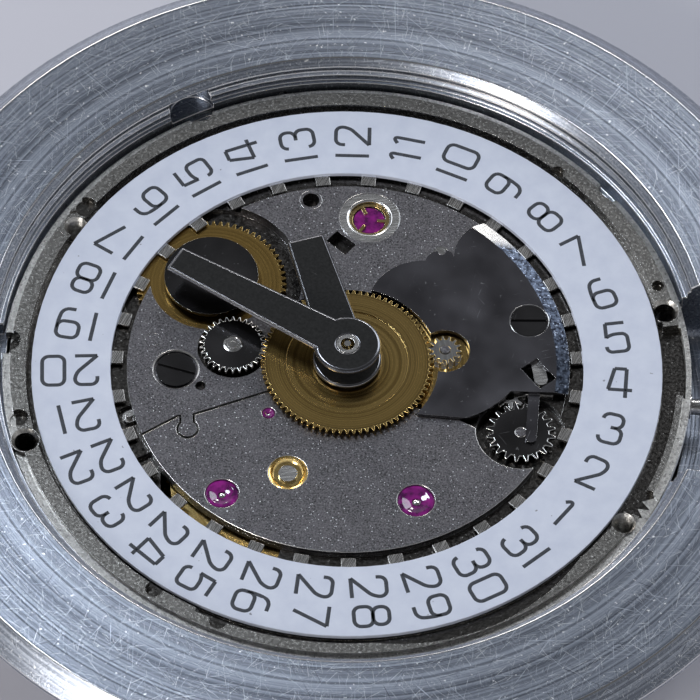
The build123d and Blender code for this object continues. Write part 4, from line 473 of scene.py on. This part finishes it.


# grained: name, dark, light, painted glint colour, roughness, grain, depth
# brushed: name, dark, light, heading of the lines, roughness
# brass: name, lathe's centre, dark, light, roughness
finishes = {
    "ring": ringFinish(ringLook),
    "ringBright": brightFinish("bright aluminium", (0.50, 0.50, 0.52), (0.88, 0.87, 0.86), 0.2),
    "plate": grainFinish(
        "grained nickel", (0.20, 0.192, 0.18), (0.44, 0.425, 0.40), (1.0, 0.98, 0.95), 0.24, 9, 0.006
    ),
    "speckled": speckledFinish(speckledLook),
    "lug": brushedFinish("stamped lugs", (0.20, 0.19, 0.18), (0.46, 0.44, 0.42), 70, 0.26),
    # painted shade: a darker grain for the rim's recess floors, where shade falls
    "paintedRecessShade": grainFinish(
        "paintedRecessShade", (0.045, 0.042, 0.038), (0.16, 0.15, 0.14), (0.8, 0.78, 0.74), 0.2, 9, 0.006
    ),
    "rimStep": grainFinish(
        "rim's lower step", (0.28, 0.27, 0.255), (0.62, 0.60, 0.57), (1.0, 0.98, 0.95), 0.3, 11, 0.010
    ),
    "bridge": brushedFinish("brushed nickel", (0.42, 0.41, 0.39), (0.66, 0.64, 0.61), 30, 0.3),
    "grained": grainFinish(
        "dark grained nickel", (0.030, 0.028, 0.030), (0.155, 0.148, 0.155), (0.9, 0.9, 0.92), 0.36, 15, 0.012
    ),
    "grainedEdge": brightFinish("grained plate's edge", (0.45, 0.44, 0.43), (0.85, 0.83, 0.8), 0.22),
    "polished": polishFinish("black polished steel", (0.21, 0.205, 0.225), 0.17, (0.62, 0.62, 0.66)),
    "steel": brushedFinish("steel", (0.40, 0.39, 0.38), (0.72, 0.70, 0.68), 15, 0.24),
    "steelBright": brightFinish("bright steel", (0.66, 0.65, 0.64), (0.96, 0.95, 0.93), 0.15),
    "darkSteel": polishFinish("dark steel", (0.13, 0.127, 0.13), 0.14, (0.5, 0.5, 0.52)),
    "brass": brassFinish("brass", (0, 0), (0.26, 0.165, 0.05), (0.78, 0.54, 0.20), 0.19),
    "barrelGold": brassFinish("barrel gilding", (-1.77, -4.99), (0.70, 0.46, 0.14), (1.0, 0.78, 0.34), 0.2),
    "brassEdge": brassFinish("bright brass", (0, 0), (0.80, 0.53, 0.17), (1.0, 0.80, 0.38), 0.16),
    "darkGold": brassFinish("dark gilt brass", (-5.5, 3.47), (0.26, 0.16, 0.045), (0.52, 0.34, 0.11), 0.22),
    "gold": brassFinish("gilt spring", (0, 0), (0.82, 0.54, 0.18), (1.0, 0.82, 0.42), 0.14),
    "ruby": rubyFinish(rubyLook),
    "lacquer": lacquerFinish(lacquerLook),
    "ink": inkFinish(inkLook),
    "hand": handFinish(handLook),
    "handEdge": brightFinish("worn hand edge", (0.16, 0.16, 0.17), (0.34, 0.34, 0.36), 0.2),
    "rotor": brushedFinish("brushed rotor", (0.36, 0.35, 0.34), (0.60, 0.58, 0.56), 0, 0.32),
}
print("finishes ready")


# meshes are shaped in millimetres and then set in the frame in metres; a piece's first material is its
# faces', the second its bevels', and more are painted on chosen faces
edgeIndex = 1
paintIndex = 2
shadeSizes = {"angle": 35, "level": 0.9999, "flat": 0.99999, "edgeReach": 0.5, "least": 1e-12}
mergeSizes = {"distance": 0.0005, "flatAngle": 0.5}
bevelSizes = {"segments": 2, "angle": 35}


def shade(mesh, angle):
    # corner normals: flat faces stay flat, walls are smooth, and edge faces run into the faces beside them
    faceCount, cornerCount = len(mesh.polygons), len(mesh.loops)
    normals, areas = np.empty(faceCount * 3), np.empty(faceCount)
    kinds, starts, totals = (np.empty(faceCount, dtype=int) for row in range(3))
    corners = np.empty(cornerCount, dtype=int)
    mesh.polygons.foreach_get("normal", normals)
    mesh.polygons.foreach_get("area", areas)
    mesh.polygons.foreach_get("material_index", kinds)
    mesh.polygons.foreach_get("loop_start", starts)
    mesh.polygons.foreach_get("loop_total", totals)
    mesh.loops.foreach_get("vertex_index", corners)
    normals = normals.reshape(-1, 3)
    faceOf = np.empty(cornerCount, dtype=int)
    for index in range(faceCount):
        faceOf[starts[index]:starts[index] + totals[index]] = index
    # every pair of corners that share a point
    order = np.argsort(corners, kind="stable")
    counts = np.bincount(corners, minlength=len(mesh.vertices))
    first = np.concatenate(([0], np.cumsum(counts)[:-1]))
    share = counts[corners]
    here = np.repeat(np.arange(cornerCount), share)
    step = np.arange(len(here)) - np.repeat(np.cumsum(share) - share, share)
    there = order[np.repeat(first[corners], share) + step]
    one, other = faceOf[here], faceOf[there]
    likeness = np.einsum("ij,ij->i", normals[one], normals[other])
    upright = np.abs(normals[:, 2]) <= shadeSizes["level"]
    edgeFace = kinds == edgeIndex
    wall = upright & ~edgeFace
    smooth = wall[one] & wall[other] & (likeness > math.cos(math.radians(angle)))
    edgeRun = edgeFace[one] & (likeness > shadeSizes["edgeReach"])
    weight = np.where((likeness > shadeSizes["flat"]) | smooth | edgeRun, areas[other], 0)
    sums = [np.bincount(here, weight * normals[other][:, axis], cornerCount) for axis in range(3)]
    result = np.stack(sums, axis=1)
    length = np.linalg.norm(result, axis=1, keepdims=True)
    result = np.where(length > 0, result / np.maximum(length, shadeSizes["least"]), normals[faceOf])
    mesh.polygons.foreach_set("use_smooth", [True] * faceCount)
    mesh.normals_split_custom_set(result.tolist())


def settle(mesh, name, body, materials, replaced=(), angle=shadeSizes["angle"]):
    shade(mesh, angle)
    mesh.transform(Matrix.Scale(mm, 4))
    for index, material in enumerate(materials):
        if index < len(mesh.materials):
            mesh.materials[index] = finishes[material]
        else:
            mesh.materials.append(finishes[material])
    piece = bpy.data.objects.new(name, mesh)
    scene.collection.objects.link(piece)
    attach(piece, body)
    if replaced:
        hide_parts(*replaced)


def meshOf(shape, name):
    mesh = bpy.data.meshes.new(name)
    shape.to_mesh(mesh)
    shape.free()
    return mesh


def scratchObject(mesh):
    scratch = bpy.data.objects.new("scratch", mesh)
    scene.collection.objects.link(scratch)
    return scratch


def finalMesh(scratch):
    # the mesh with its modifiers or its curve's bevel; the scratch object goes
    mesh = bpy.data.meshes.new_from_object(scratch.evaluated_get(bpy.context.evaluated_depsgraph_get()))
    bpy.data.objects.remove(scratch)
    return mesh


def bevelled(mesh, width):
    scratch = scratchObject(mesh)
    bevel = scratch.modifiers.new("edges", "BEVEL")
    bevel.width = width
    bevel.segments = bevelSizes["segments"]
    bevel.limit_method = "ANGLE"
    bevel.angle_limit = math.radians(bevelSizes["angle"])
    bevel.material = edgeIndex
    bevel.use_clamp_overlap = True
    return finalMesh(scratch)


def copyOfNode(node, cut=None):
    # a merged copy of a CAD node, in millimetres
    shape = bmesh.new()
    shape.from_mesh(frame["nodes"][node].data)
    bmesh.ops.scale(shape, vec=(1 / mm,) * 3, verts=shape.verts)
    bmesh.ops.remove_doubles(shape, verts=shape.verts, dist=mergeSizes["distance"])
    if cut:
        bmesh.ops.delete(shape, geom=[vert for vert in shape.verts if cut(vert.co)], context="VERTS")
    flatAngle = math.radians(mergeSizes["flatAngle"])
    bmesh.ops.dissolve_limit(shape, angle_limit=flatAngle, verts=shape.verts, edges=shape.edges)
    bmesh.ops.triangulate(shape, faces=shape.faces)
    return meshOf(shape, node)


def dress(node, material, edge, width, paints=()):
    # each paint is a finish and a test that picks faces by their middle and their direction
    mesh = copyOfNode(node)
    for slotIndex in range(paintIndex + len(paints)):
        mesh.materials.append(None)
    if width:
        mesh = bevelled(mesh, width)
    for index, (paint, test) in enumerate(paints):
        for polygon in mesh.polygons:
            if test(polygon.center, polygon.normal) and (polygon.material_index != edgeIndex or not edge):
                polygon.material_index = paintIndex + index
    words = node.split("_")
    name = words[0] + "".join(word.capitalize() for word in words[1:])
    settle(mesh, name, bodyOf[node], [material, edge or material] + [paint for paint, test in paints], [node])


def near(place, radius):
    # picks the faces nearer than a radius to an upright axis
    return lambda spot, way: math.hypot(spot.x - place[0], spot.y - place[1]) < radius


def spun(profile, place, steps):
    # a closed profile of (distance, height) turned about an upright axis
    shape = bmesh.new()
    verts = [shape.verts.new((x, 0, z)) for x, z in profile]
    edges = [shape.edges.new((verts[i], verts[(i + 1) % len(verts)])) for i in range(len(verts))]
    bmesh.ops.spin(
        shape, geom=verts + edges, cent=(0, 0, 0), axis=(0, 0, 1), angle=math.tau, steps=steps, use_merge=True
    )
    bmesh.ops.remove_doubles(shape, verts=shape.verts, dist=mergeSizes["distance"])
    bmesh.ops.translate(shape, vec=(*place, 0), verts=shape.verts)
    bmesh.ops.recalc_face_normals(shape, faces=shape.faces)
    return meshOf(shape, "turned")


def joined(meshes):
    shape = bmesh.new()
    for mesh in meshes:
        shape.from_mesh(mesh)
    return meshOf(shape, "joined")


# camera at the photograph's view
cameraSizes = {
    "azimuth": 3.972,
    "elevation": 56.054,
    "roll": 1.2945,
    "distance": 206.84,
    "aim": (0.048, 0.700, -0.12),
    "lens": 281.57,
    "sensor": 36,
    "clip": (0.01, 10),
}


def makeCamera(sizes):
    azimuth, elevation, roll = (math.radians(sizes[key]) for key in ("azimuth", "elevation", "roll"))
    reach = math.cos(elevation)
    back = Vector((math.sin(azimuth) * reach, -math.cos(azimuth) * reach, math.sin(elevation)))
    right = Vector((0, 0, 1)).cross(back).normalized()
    up = back.cross(right)
    turnedRight = right * math.cos(roll) + up * math.sin(roll)
    turnedUp = up * math.cos(roll) - right * math.sin(roll)
    camera = bpy.data.objects.new("camera", bpy.data.cameras.new("camera"))
    scene.collection.objects.link(camera)
    place = Matrix.Translation((Vector(sizes["aim"]) + back * sizes["distance"]) * mm)
    camera.matrix_world = place @ Matrix((turnedRight, turnedUp, back)).transposed().to_4x4()
    camera.data.lens = sizes["lens"]
    camera.data.sensor_width = sizes["sensor"]
    camera.data.clip_start, camera.data.clip_end = sizes["clip"]
    scene.camera = camera


makeCamera(cameraSizes)
print("camera ready")

# floor and light
stageSizes = {
    "floorSize": 600,
    "floorSegments": 4,
    "floorColor": (0.56, 0.555, 0.615),
    "floorRoughness": 0.8,
    # brightness of the sky against the sine of its height: a light horizon under a dark ceiling
    "sky": ((0.0, 0.60), (0.20, 0.75), (0.42, 0.48), (0.62, 0.18), (0.80, 0.09), (1.0, 0.11)),
    "skyTint": (0.94, 0.96, 1.0),
    "skyStrength": 1.0,
    # name, place and size in millimetres, strength in watts, tint
    "lamps": (
        ("front", (-190, -230, 190), 120, 0.60, (1.0, 0.98, 0.95)),
        ("overhead", (-125, 110, 320), 100, 0.34, (0.82, 0.90, 1.0)),
        ("back", (150, 238, 230), 210, 0.34, (0.86, 0.92, 1.0)),
        ("spot", (40, 300, 195), 36, 0.07, (1.0, 0.99, 0.97)),
        ("low", (-120, 330, 90), 120, 0.22, (1.0, 0.97, 0.93)),
    ),
}


def makeFloor(sizes):
    shape = bmesh.new()
    segments = sizes["floorSegments"]
    bmesh.ops.create_grid(shape, x_segments=segments, y_segments=segments, size=sizes["floorSize"])
    bmesh.ops.translate(shape, vec=(0, 0, cadBox[0].z / mm), verts=shape.verts)
    mesh = meshOf(shape, "floor")
    mesh.transform(Matrix.Scale(mm, 4))
    mesh.materials.append(newFinish("floor", sizes["floorColor"], 0.0, sizes["floorRoughness"]))
    floor = bpy.data.objects.new("floor", mesh)
    scene.collection.objects.link(floor)


def makeSky(sizes):
    world = bpy.data.worlds.new("studio")
    scene.world = world
    world.use_nodes = True
    nodes, links = world.node_tree.nodes, world.node_tree.links
    direction = nodes.new("ShaderNodeTexCoord")
    split = nodes.new("ShaderNodeSeparateXYZ")
    links.new(direction.outputs["Generated"], split.inputs[0])
    sky = nodes.new("ShaderNodeValToRGB")
    stops = sky.color_ramp.elements
    for index, (height, level) in enumerate(sizes["sky"]):
        stop = stops[index] if index < 2 else stops.new(height)
        stop.position = height
        stop.color = [level * part for part in sizes["skyTint"]] + [1]
    links.new(split.outputs["Z"], sky.inputs[0])
    background = nodes["Background"]
    links.new(sky.outputs[0], background.inputs["Color"])
    background.inputs["Strength"].default_value = sizes["skyStrength"]


def makeLamps(lamps):
    for name, place, size, watts, tint in lamps:
        lamp = bpy.data.objects.new(name, bpy.data.lights.new(name, "AREA"))
        scene.collection.objects.link(lamp)
        lamp.data.shape = "DISK"
        lamp.data.size = size * mm
        lamp.data.energy = watts
        lamp.data.color = tint
        lamp.location = Vector(place) * mm
        lamp.rotation_mode = "QUATERNION"
        lamp.rotation_quaternion = Vector(place).to_track_quat("Z", "Y")


makeFloor(stageSizes)
makeSky(stageSizes)
makeLamps(stageSizes["lamps"])
scene.view_settings.view_transform = "Standard"
print("stage ready")

# carried-over pieces, copied with fine bevels: finish, finish of the bevels, their width, and the nodes
dressings = (
    ("ring", "ringBright", 0.06, ("casing_ring",)),
    ("plate", "steelBright", 0.045, ("mainplate",)),
    ("grained", "grainedEdge", 0.025, ("calendar_plate", "date_driver_plate")),
    ("polished", "steelBright", 0.03, ("setting_cover_plate",)),
    ("darkSteel", "steelBright", 0.03, ("plate_screws",)),
    ("bridge", "steelBright", 0.04,
     ("train_bridge", "barrel_bridge", "balance_cock", "automatic_bridge", "pallet_bridge")),
    ("brass", "brassEdge", 0.012,
     ("hour_wheel", "centre_wheel", "third_wheel", "balance_wheel", "reduction_wheel", "reversing_wheel_1",
      "reversing_wheel_2")),
    ("barrelGold", "brassEdge", 0.02, ("barrel_drum", "barrel_cover")),
    ("darkGold", "brassEdge", 0.012, ("date_driving_wheel",)),
    ("brass", "brassEdge", 0.012, ("minute_wheel", "seconds_wheel")),
    ("steel", "steelBright", 0.012,
     ("cannon_pinion", "intermediate_setting_wheel", "stem", "winding_pinion", "sliding_pinion",
      "setting_lever", "yoke", "crown_pinion", "crown_wheel", "intermediate_winding_wheel", "ratchet_wheel",
      "click", "barrel_arbor", "mainspring", "escape_wheel", "pallet_fork", "balance_staff", "regulator",
      "date_jumper", "reversing_pinion", "rotor_hub", "rotor_balls", "shock_blocks")),
    ("darkSteel", "steelBright", 0.03, ("intermediate_date_wheel", "setting_wheel")),
    ("steel", None, 0, ("hairspring",)),
    ("darkSteel", "steelBright", 0.02, ("date_driver_disc",)),
    ("gold", None, 0.01, ("shock_springs",)),
    ("rotor", "steelBright", 0.03, ("rotor_plate",)),
    ("rotor", "steelBright", 0.08, ("rotor_weight",)),
    ("ruby", None, 0.02, ("pallet_stones", "shock_jewels")),
    ("lacquer", None, 0.03, ("date_disc",)),
    ("hand", "handEdge", 0.03, ("hour_hand",)),
    ("hand", "handEdge", 0.06, ("minute_hand",)),
)
paintSizes = {
    "centre": (0, 0),
    "minutePlace": (3.63, 0.892),
    "minuteSteel": 0.8,
    "secondsSteel": 0.5,
    "plateMiddle": 8.7,
    "recessTop": -0.25,
    "recessFloor": -1.0,
    "recessRadius": 12.79,
    "stepRadius": 12.69,
    "up": 0.9,
    "level": 0.995,
    "coverBevel": 7.8,
    "lugs": 8.90,
}


def paintsOf(sizes):
    centre, up, level = sizes["centre"], sizes["up"], sizes["level"]

    def inRecess(spot, way):
        inside = math.hypot(spot.x, spot.y) < sizes["recessRadius"]
        return way.z > up and sizes["recessFloor"] < spot.z < sizes["recessTop"] and inside

    def onStep(spot, way):
        return math.hypot(spot.x, spot.y) > sizes["stepRadius"]

    def onCoverBevel(spot, way):
        return up < way.z < level and math.hypot(spot.x, spot.y) > sizes["coverBevel"]

    return {
        "mainplate": [
            ("grained", near(centre, sizes["plateMiddle"])),
            # painted shade on the recess floors of the rim
            ("paintedRecessShade", inRecess),
            ("rimStep", onStep),
        ],
        "setting_cover_plate": [("speckled", onCoverBevel)],
        "minute_wheel": [("steelBright", near(sizes["minutePlace"], sizes["minuteSteel"]))],
        "seconds_wheel": [("steelBright", near(centre, sizes["secondsSteel"]))],
        "date_disc": [("lug", near(centre, sizes["lugs"]))],
    }


paints = paintsOf(paintSizes)
for material, edge, width, nodes in dressings:
    for node in nodes:
        dress(node, material, edge, width, paints.get(node, ()))
print("carried-over pieces ready")

# dished jewels, with the ends of their pivots
jewelSizes = {
    "places": ((-4.12, -6.14, 0.63), (3.08, -5.76, 0.70), (-2.74, -2.42, 0.25)),
    "largest": 0.70,
    "top": -0.16,
    "bottom": -0.34,
    "cutBelow": 0.1,
    "hole": 0.16,
    "sink": 0.075,
    # shares of the radius, and of the sink, from the hole to the rim
    "dish": ((0.34, 0.94), (0.52, 0.62), (0.66, 0.18), (0.74, 0), (0.90, 0)),
    "rimGap": 0.005,
    "rimDrop": 0.035,
    "steps": 48,
    "pivotTop": -0.23,
    "pivotShare": 0.82,
    "pivotDrops": ((0.6, 0.01), (1, 0.04)),
    "pivotSteps": 24,
    "angle": 50,
}


def makeJewels(sizes):
    top, bottom, sink = sizes["top"], sizes["bottom"], sizes["sink"]
    meshes = [copyOfNode("bearing_jewels", lambda spot: spot.z > bottom - sizes["cutBelow"])]
    pins = []
    for x, y, radius in sizes["places"]:
        hole = sizes["hole"] * radius / sizes["largest"]
        rim = radius - sizes["rimGap"]
        profile = [(hole, bottom), (hole, top - sink)]
        profile += [(radius * share, top - sink * drop) for share, drop in sizes["dish"]]
        profile += [(rim, top - sizes["rimDrop"]), (rim, bottom)]
        meshes.append(spun(profile, (x, y), sizes["steps"]))
        pin, level = hole * sizes["pivotShare"], sizes["pivotTop"]
        profile = [(0, bottom), (0, level)]
        profile += [(pin * share, level - drop) for share, drop in sizes["pivotDrops"]]
        pins.append(spun(profile + [(pin, bottom)], (x, y), sizes["pivotSteps"]))
    settle(joined(meshes), "bearingJewels", "movement", ["ruby"], ["bearing_jewels"], angle=sizes["angle"])
    settle(joined(pins), "pivotEnds", "movement", ["steelBright"])


makeJewels(jewelSizes)

# cup of the barrel's bush
bushSizes = {
    "place": (-1.77, -4.99),
    "radius": 0.74,
    "wall": 0.07,
    "floor": -0.31,
    "top": -0.125,
    "under": 0.06,
    "round": 0.02,
    "slope": 0.05,
    # where the inner slope starts and ends, in walls from the outside
    "slopeTop": 1.8,
    "slopeFoot": 3,
    "steps": 48,
}


def makeBush(sizes):
    radius, wall, floor, top = sizes["radius"], sizes["wall"], sizes["floor"], sizes["top"]
    low, shoulder = floor - sizes["under"], top - sizes["round"]
    profile = [
        (0, low),
        (radius, low),
        (radius, shoulder),
        (radius - sizes["round"], top),
        (radius - wall, shoulder),
        (radius - wall * sizes["slopeTop"], floor + sizes["slope"]),
        (radius - wall * sizes["slopeFoot"], floor),
        (0, floor),
    ]
    cup = spun(profile, sizes["place"], sizes["steps"])
    settle(cup, "barrelBush", "movement", ["brassEdge"], ["barrel_bush"])


makeBush(bushSizes)

# threads of the casing holes
threadSizes = {
    "places": ((-10.91, 5.37), (10.82, -6.02)),
    "radius": 0.448,
    "ridge": 0.10,
    "root": 0.006,
    "pitch": 0.26,
    "top": -0.12,
    "turns": 5,
    "steps": 32,
}


def makeThreads(sizes):
    radius, pitch = sizes["radius"], sizes["pitch"]
    profile = [(radius, sizes["top"])]
    for turn in range(sizes["turns"]):
        level = sizes["top"] - pitch * turn
        profile += [(radius - sizes["ridge"], level - pitch / 2), (radius - sizes["root"], level - pitch)]
    profile.append((radius, profile[-1][1]))
    meshes = [spun(profile, place, sizes["steps"]) for place in sizes["places"]]
    settle(joined(meshes), "casingThreads", "movement", ["rimStep"])


makeThreads(threadSizes)

# hub of the intermediate date wheel
hubSizes = {
    "place": (-4.36, 0.358),
    "radius": 0.36,
    "rise": 0.05,
    "under": 0.02,
    # shares of the radius and of the rise, from the rim to the middle
    "steps": ((1, 0.2), (0.86, 0.45), (0.8, 0.1), (0.62, 0.1), (0.56, 1), (0.34, 1), (0.3, 0.3), (0, 0.3)),
    "turns": 32,
}


def makeHub(sizes):
    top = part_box("intermediate_date_wheel")[1].z / mm
    radius, rise, low = sizes["radius"], sizes["rise"], top - sizes["under"]
    profile = [(0, low), (radius, low)]
    profile += [(radius * share, top + rise * height) for share, height in sizes["steps"]]
    node = "intermediate_date_wheel"
    hub = spun(profile, sizes["place"], sizes["turns"])
    settle(hub, "dateIdlerHub", bodyOf[node], ["steelBright"])


makeHub(hubSizes)

# ribbed stud beside the cover
studSizes = {
    "place": (3.15, 5.44),
    "radius": 0.34,
    "bottom": -0.2,
    "foot": 0.1,
    "ribs": 4,
    "ribHeight": 0.0375,
    "ribPitch": 0.045,
    "ribEdge": 0.93,
    "ribTop": 0.8,
    "taper": 0.78,
    "steps": 32,
}


def makeStud(sizes):
    level, radius = sizes["bottom"] + sizes["foot"], sizes["radius"]
    profile = [(0, sizes["bottom"]), (radius, sizes["bottom"])]
    for rib in range(sizes["ribs"]):
        upper = level + sizes["ribHeight"]
        profile += [(radius, level), (radius * sizes["ribEdge"], upper), (radius * sizes["ribTop"], upper)]
        radius *= sizes["taper"]
        level += sizes["ribPitch"]
    profile.append((0, level))
    stud = spun(profile, sizes["place"], sizes["steps"])
    settle(stud, "ribbedStud", "movement", ["steelBright"])


makeStud(studSizes)

# bright seats round screws, the shock block and a hole: place, inner and outer radius, top and drop
seatSizes = {
    "seats": (
        ((-6.41, -0.80), 0.835, 0.885, -0.118, 0.03),
        ((6.70, 2.57), 0.715, 0.745, 0.052, 0.02),
        ((0.25, 6.87), 1.135, 1.175, -0.118, 0.03),
        ((0.25, 6.87), 0.80, 0.86, -0.125, 0.02),
        ((-2.06, 7.48), 0.335, 0.43, -0.118, 0.04),
    ),
    "lip": 0.012,
    "lipDrop": 0.004,
    "thickness": 0.03,
    "steps": 64,
}


def makeSeats(sizes):
    meshes = []
    for place, inner, outer, top, drop in sizes["seats"]:
        profile = [
            (inner, top - drop),
            (outer, top),
            (outer + sizes["lip"], top - sizes["lipDrop"]),
            (inner, top - drop - sizes["thickness"]),
        ]
        meshes.append(spun(profile, place, sizes["steps"]))
    settle(joined(meshes), "screwSeats", "movement", ["steelBright"])


makeSeats(seatSizes)
print("small pieces ready")

# numerals of the date disc
numeralSizes = {
    "height": 1.30,
    "width": 0.84,
    "stroke": 0.15,
    "relief": 0.006,
    "lift": 0.001,
    "corner": 0.26,
    "cornerSegments": 5,
    "strokeResolution": 1,
    "shadeAngle": 60,
    "count": 31,
    # the number that lies at the first angle
    "firstNumber": 4,
    "firstAngle": 1.0,
    # distances of the digits from the middle
    "oneDigit": (10.28,),
    "twoDigits": (9.83, 11.07),
    "teens": (9.76, 10.70),
    "endingInOne": (10.05, 10.98),
    "eleven": (9.95, 10.72),
}
# each stroke is a list of points in a unit box; the flag says whether it closes; "|" is a 1 beside a digit
glyphs = {
    "0": [([(0, 0), (1, 0), (1, 1), (0, 1)], True)],
    "1": [([(0.62, 0), (0.62, 1), (0.30, 0.80)], False)],
    "|": [([(0.5, 0), (0.5, 1)], False)],
    "2": [([(0, 0.72), (0, 1), (1, 1), (1, 0.62), (0.0, 0.0)], False), ([(0.0, 0.0), (1, 0)], False)],
    "3": [
        ([(0.02, 0.80), (0.02, 1), (0.94, 1), (0.94, 0.54), (0.45, 0.54)], False),
        ([(0.6, 0.54), (1, 0.54), (1, 0), (0, 0), (0, 0.2)], False),
    ],
    "4": [
        ([(0.26, 1), (0.80, 1)], False),
        ([(0.80, 1), (0.78, 0)], False),
        ([(0.26, 1), (0.0, 0.27)], False),
        ([(0.0, 0.27), (1.08, 0.27)], False),
    ],
    "5": [
        ([(0.95, 1), (0.10, 1)], False),
        ([(0.10, 1), (0.05, 0.50)], False),
        ([(0.05, 0.52), (0.25, 0.62), (1, 0.62), (1, 0), (0, 0), (0, 0.2)], False),
    ],
    "6": [
        ([(0, 0.0), (1, 0.0), (1, 0.56), (0, 0.56)], True),
        ([(0, 0.3), (0.0, 0.62), (0.12, 1), (0.70, 1)], False),
    ],
    "7": [([(0, 1), (1, 1)], False), ([(1, 1), (0.35, 0)], False)],
    "8": [
        ([(0.05, 0.54), (0.95, 0.54), (0.95, 1), (0.05, 1)], True),
        ([(0, 0), (1, 0), (1, 0.54), (0, 0.54)], True),
    ],
    "9": [
        ([(0, 0.44), (1, 0.44), (1, 1), (0, 1)], True),
        ([(1, 0.7), (1.0, 0.38), (0.88, 0), (0.30, 0)], False),
    ],
}


def spotsOf(number, sizes):
    if number < 10:
        return sizes["oneDigit"]
    if number == 11:
        return sizes["eleven"]
    if number < 20:
        return sizes["teens"]
    return sizes["endingInOne"] if number % 10 == 1 else sizes["twoDigits"]


def drawGlyph(shape, glyph, spot, sizes):
    # returns the points of one digit, its corners rounded
    fresh = []
    for points, closes in glyphs[glyph]:
        places = [(spot + (x - 0.5) * sizes["width"], (y - 0.5) * sizes["height"], 0) for x, y in points]
        verts = [shape.verts.new(place) for place in places]
        count = len(verts) if closes else len(verts) - 1
        for index in range(count):
            shape.edges.new((verts[index], verts[(index + 1) % len(verts)]))
        corners = verts if closes else verts[1:-1]
        if corners:
            segments = sizes["cornerSegments"]
            rounded = bmesh.ops.bevel(
                shape, geom=corners, offset=sizes["corner"], affect="VERTICES", segments=segments,
                profile=0.5, material=-1, clamp_overlap=True
            )
            fresh += rounded["verts"]
        fresh += [vert for vert in verts if vert.is_valid]
    return list({vert for vert in fresh if vert.is_valid})


def makeNumerals(sizes):
    shape = bmesh.new()
    for number in range(1, sizes["count"] + 1):
        text = {1: "1", 11: "11"}.get(number, str(number).replace("1", "|"))
        turn = sizes["firstAngle"] + (number - sizes["firstNumber"]) * 360 / sizes["count"]
        turning = Matrix.Rotation(math.radians(turn), 3, "Z")
        for glyph, spot in zip(text, spotsOf(number, sizes)):
            fresh = drawGlyph(shape, glyph, spot, sizes)
            bmesh.ops.rotate(shape, cent=(0, 0, 0), matrix=turning, verts=fresh)
    scratch = scratchObject(meshOf(shape, "numeral lines"))
    bpy.context.view_layer.objects.active = scratch
    scratch.select_set(True)
    bpy.ops.object.convert(target="CURVE")
    scratch = bpy.context.view_layer.objects.active
    scratch.data.bevel_depth = sizes["stroke"] / 2
    scratch.data.bevel_resolution = sizes["strokeResolution"]
    scratch.data.use_fill_caps = True
    mesh = finalMesh(scratch)
    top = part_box("date_disc")[1].z / mm
    flatten = Matrix.Diagonal((1, 1, sizes["relief"] / sizes["stroke"] * 2, 1))
    mesh.transform(Matrix.Translation((0, 0, top + sizes["lift"])) @ flatten)
    settle(mesh, "dateNumerals", "date_disc", ["ink"], angle=sizes["shadeAngle"])


makeNumerals(numeralSizes)
print("numerals ready")
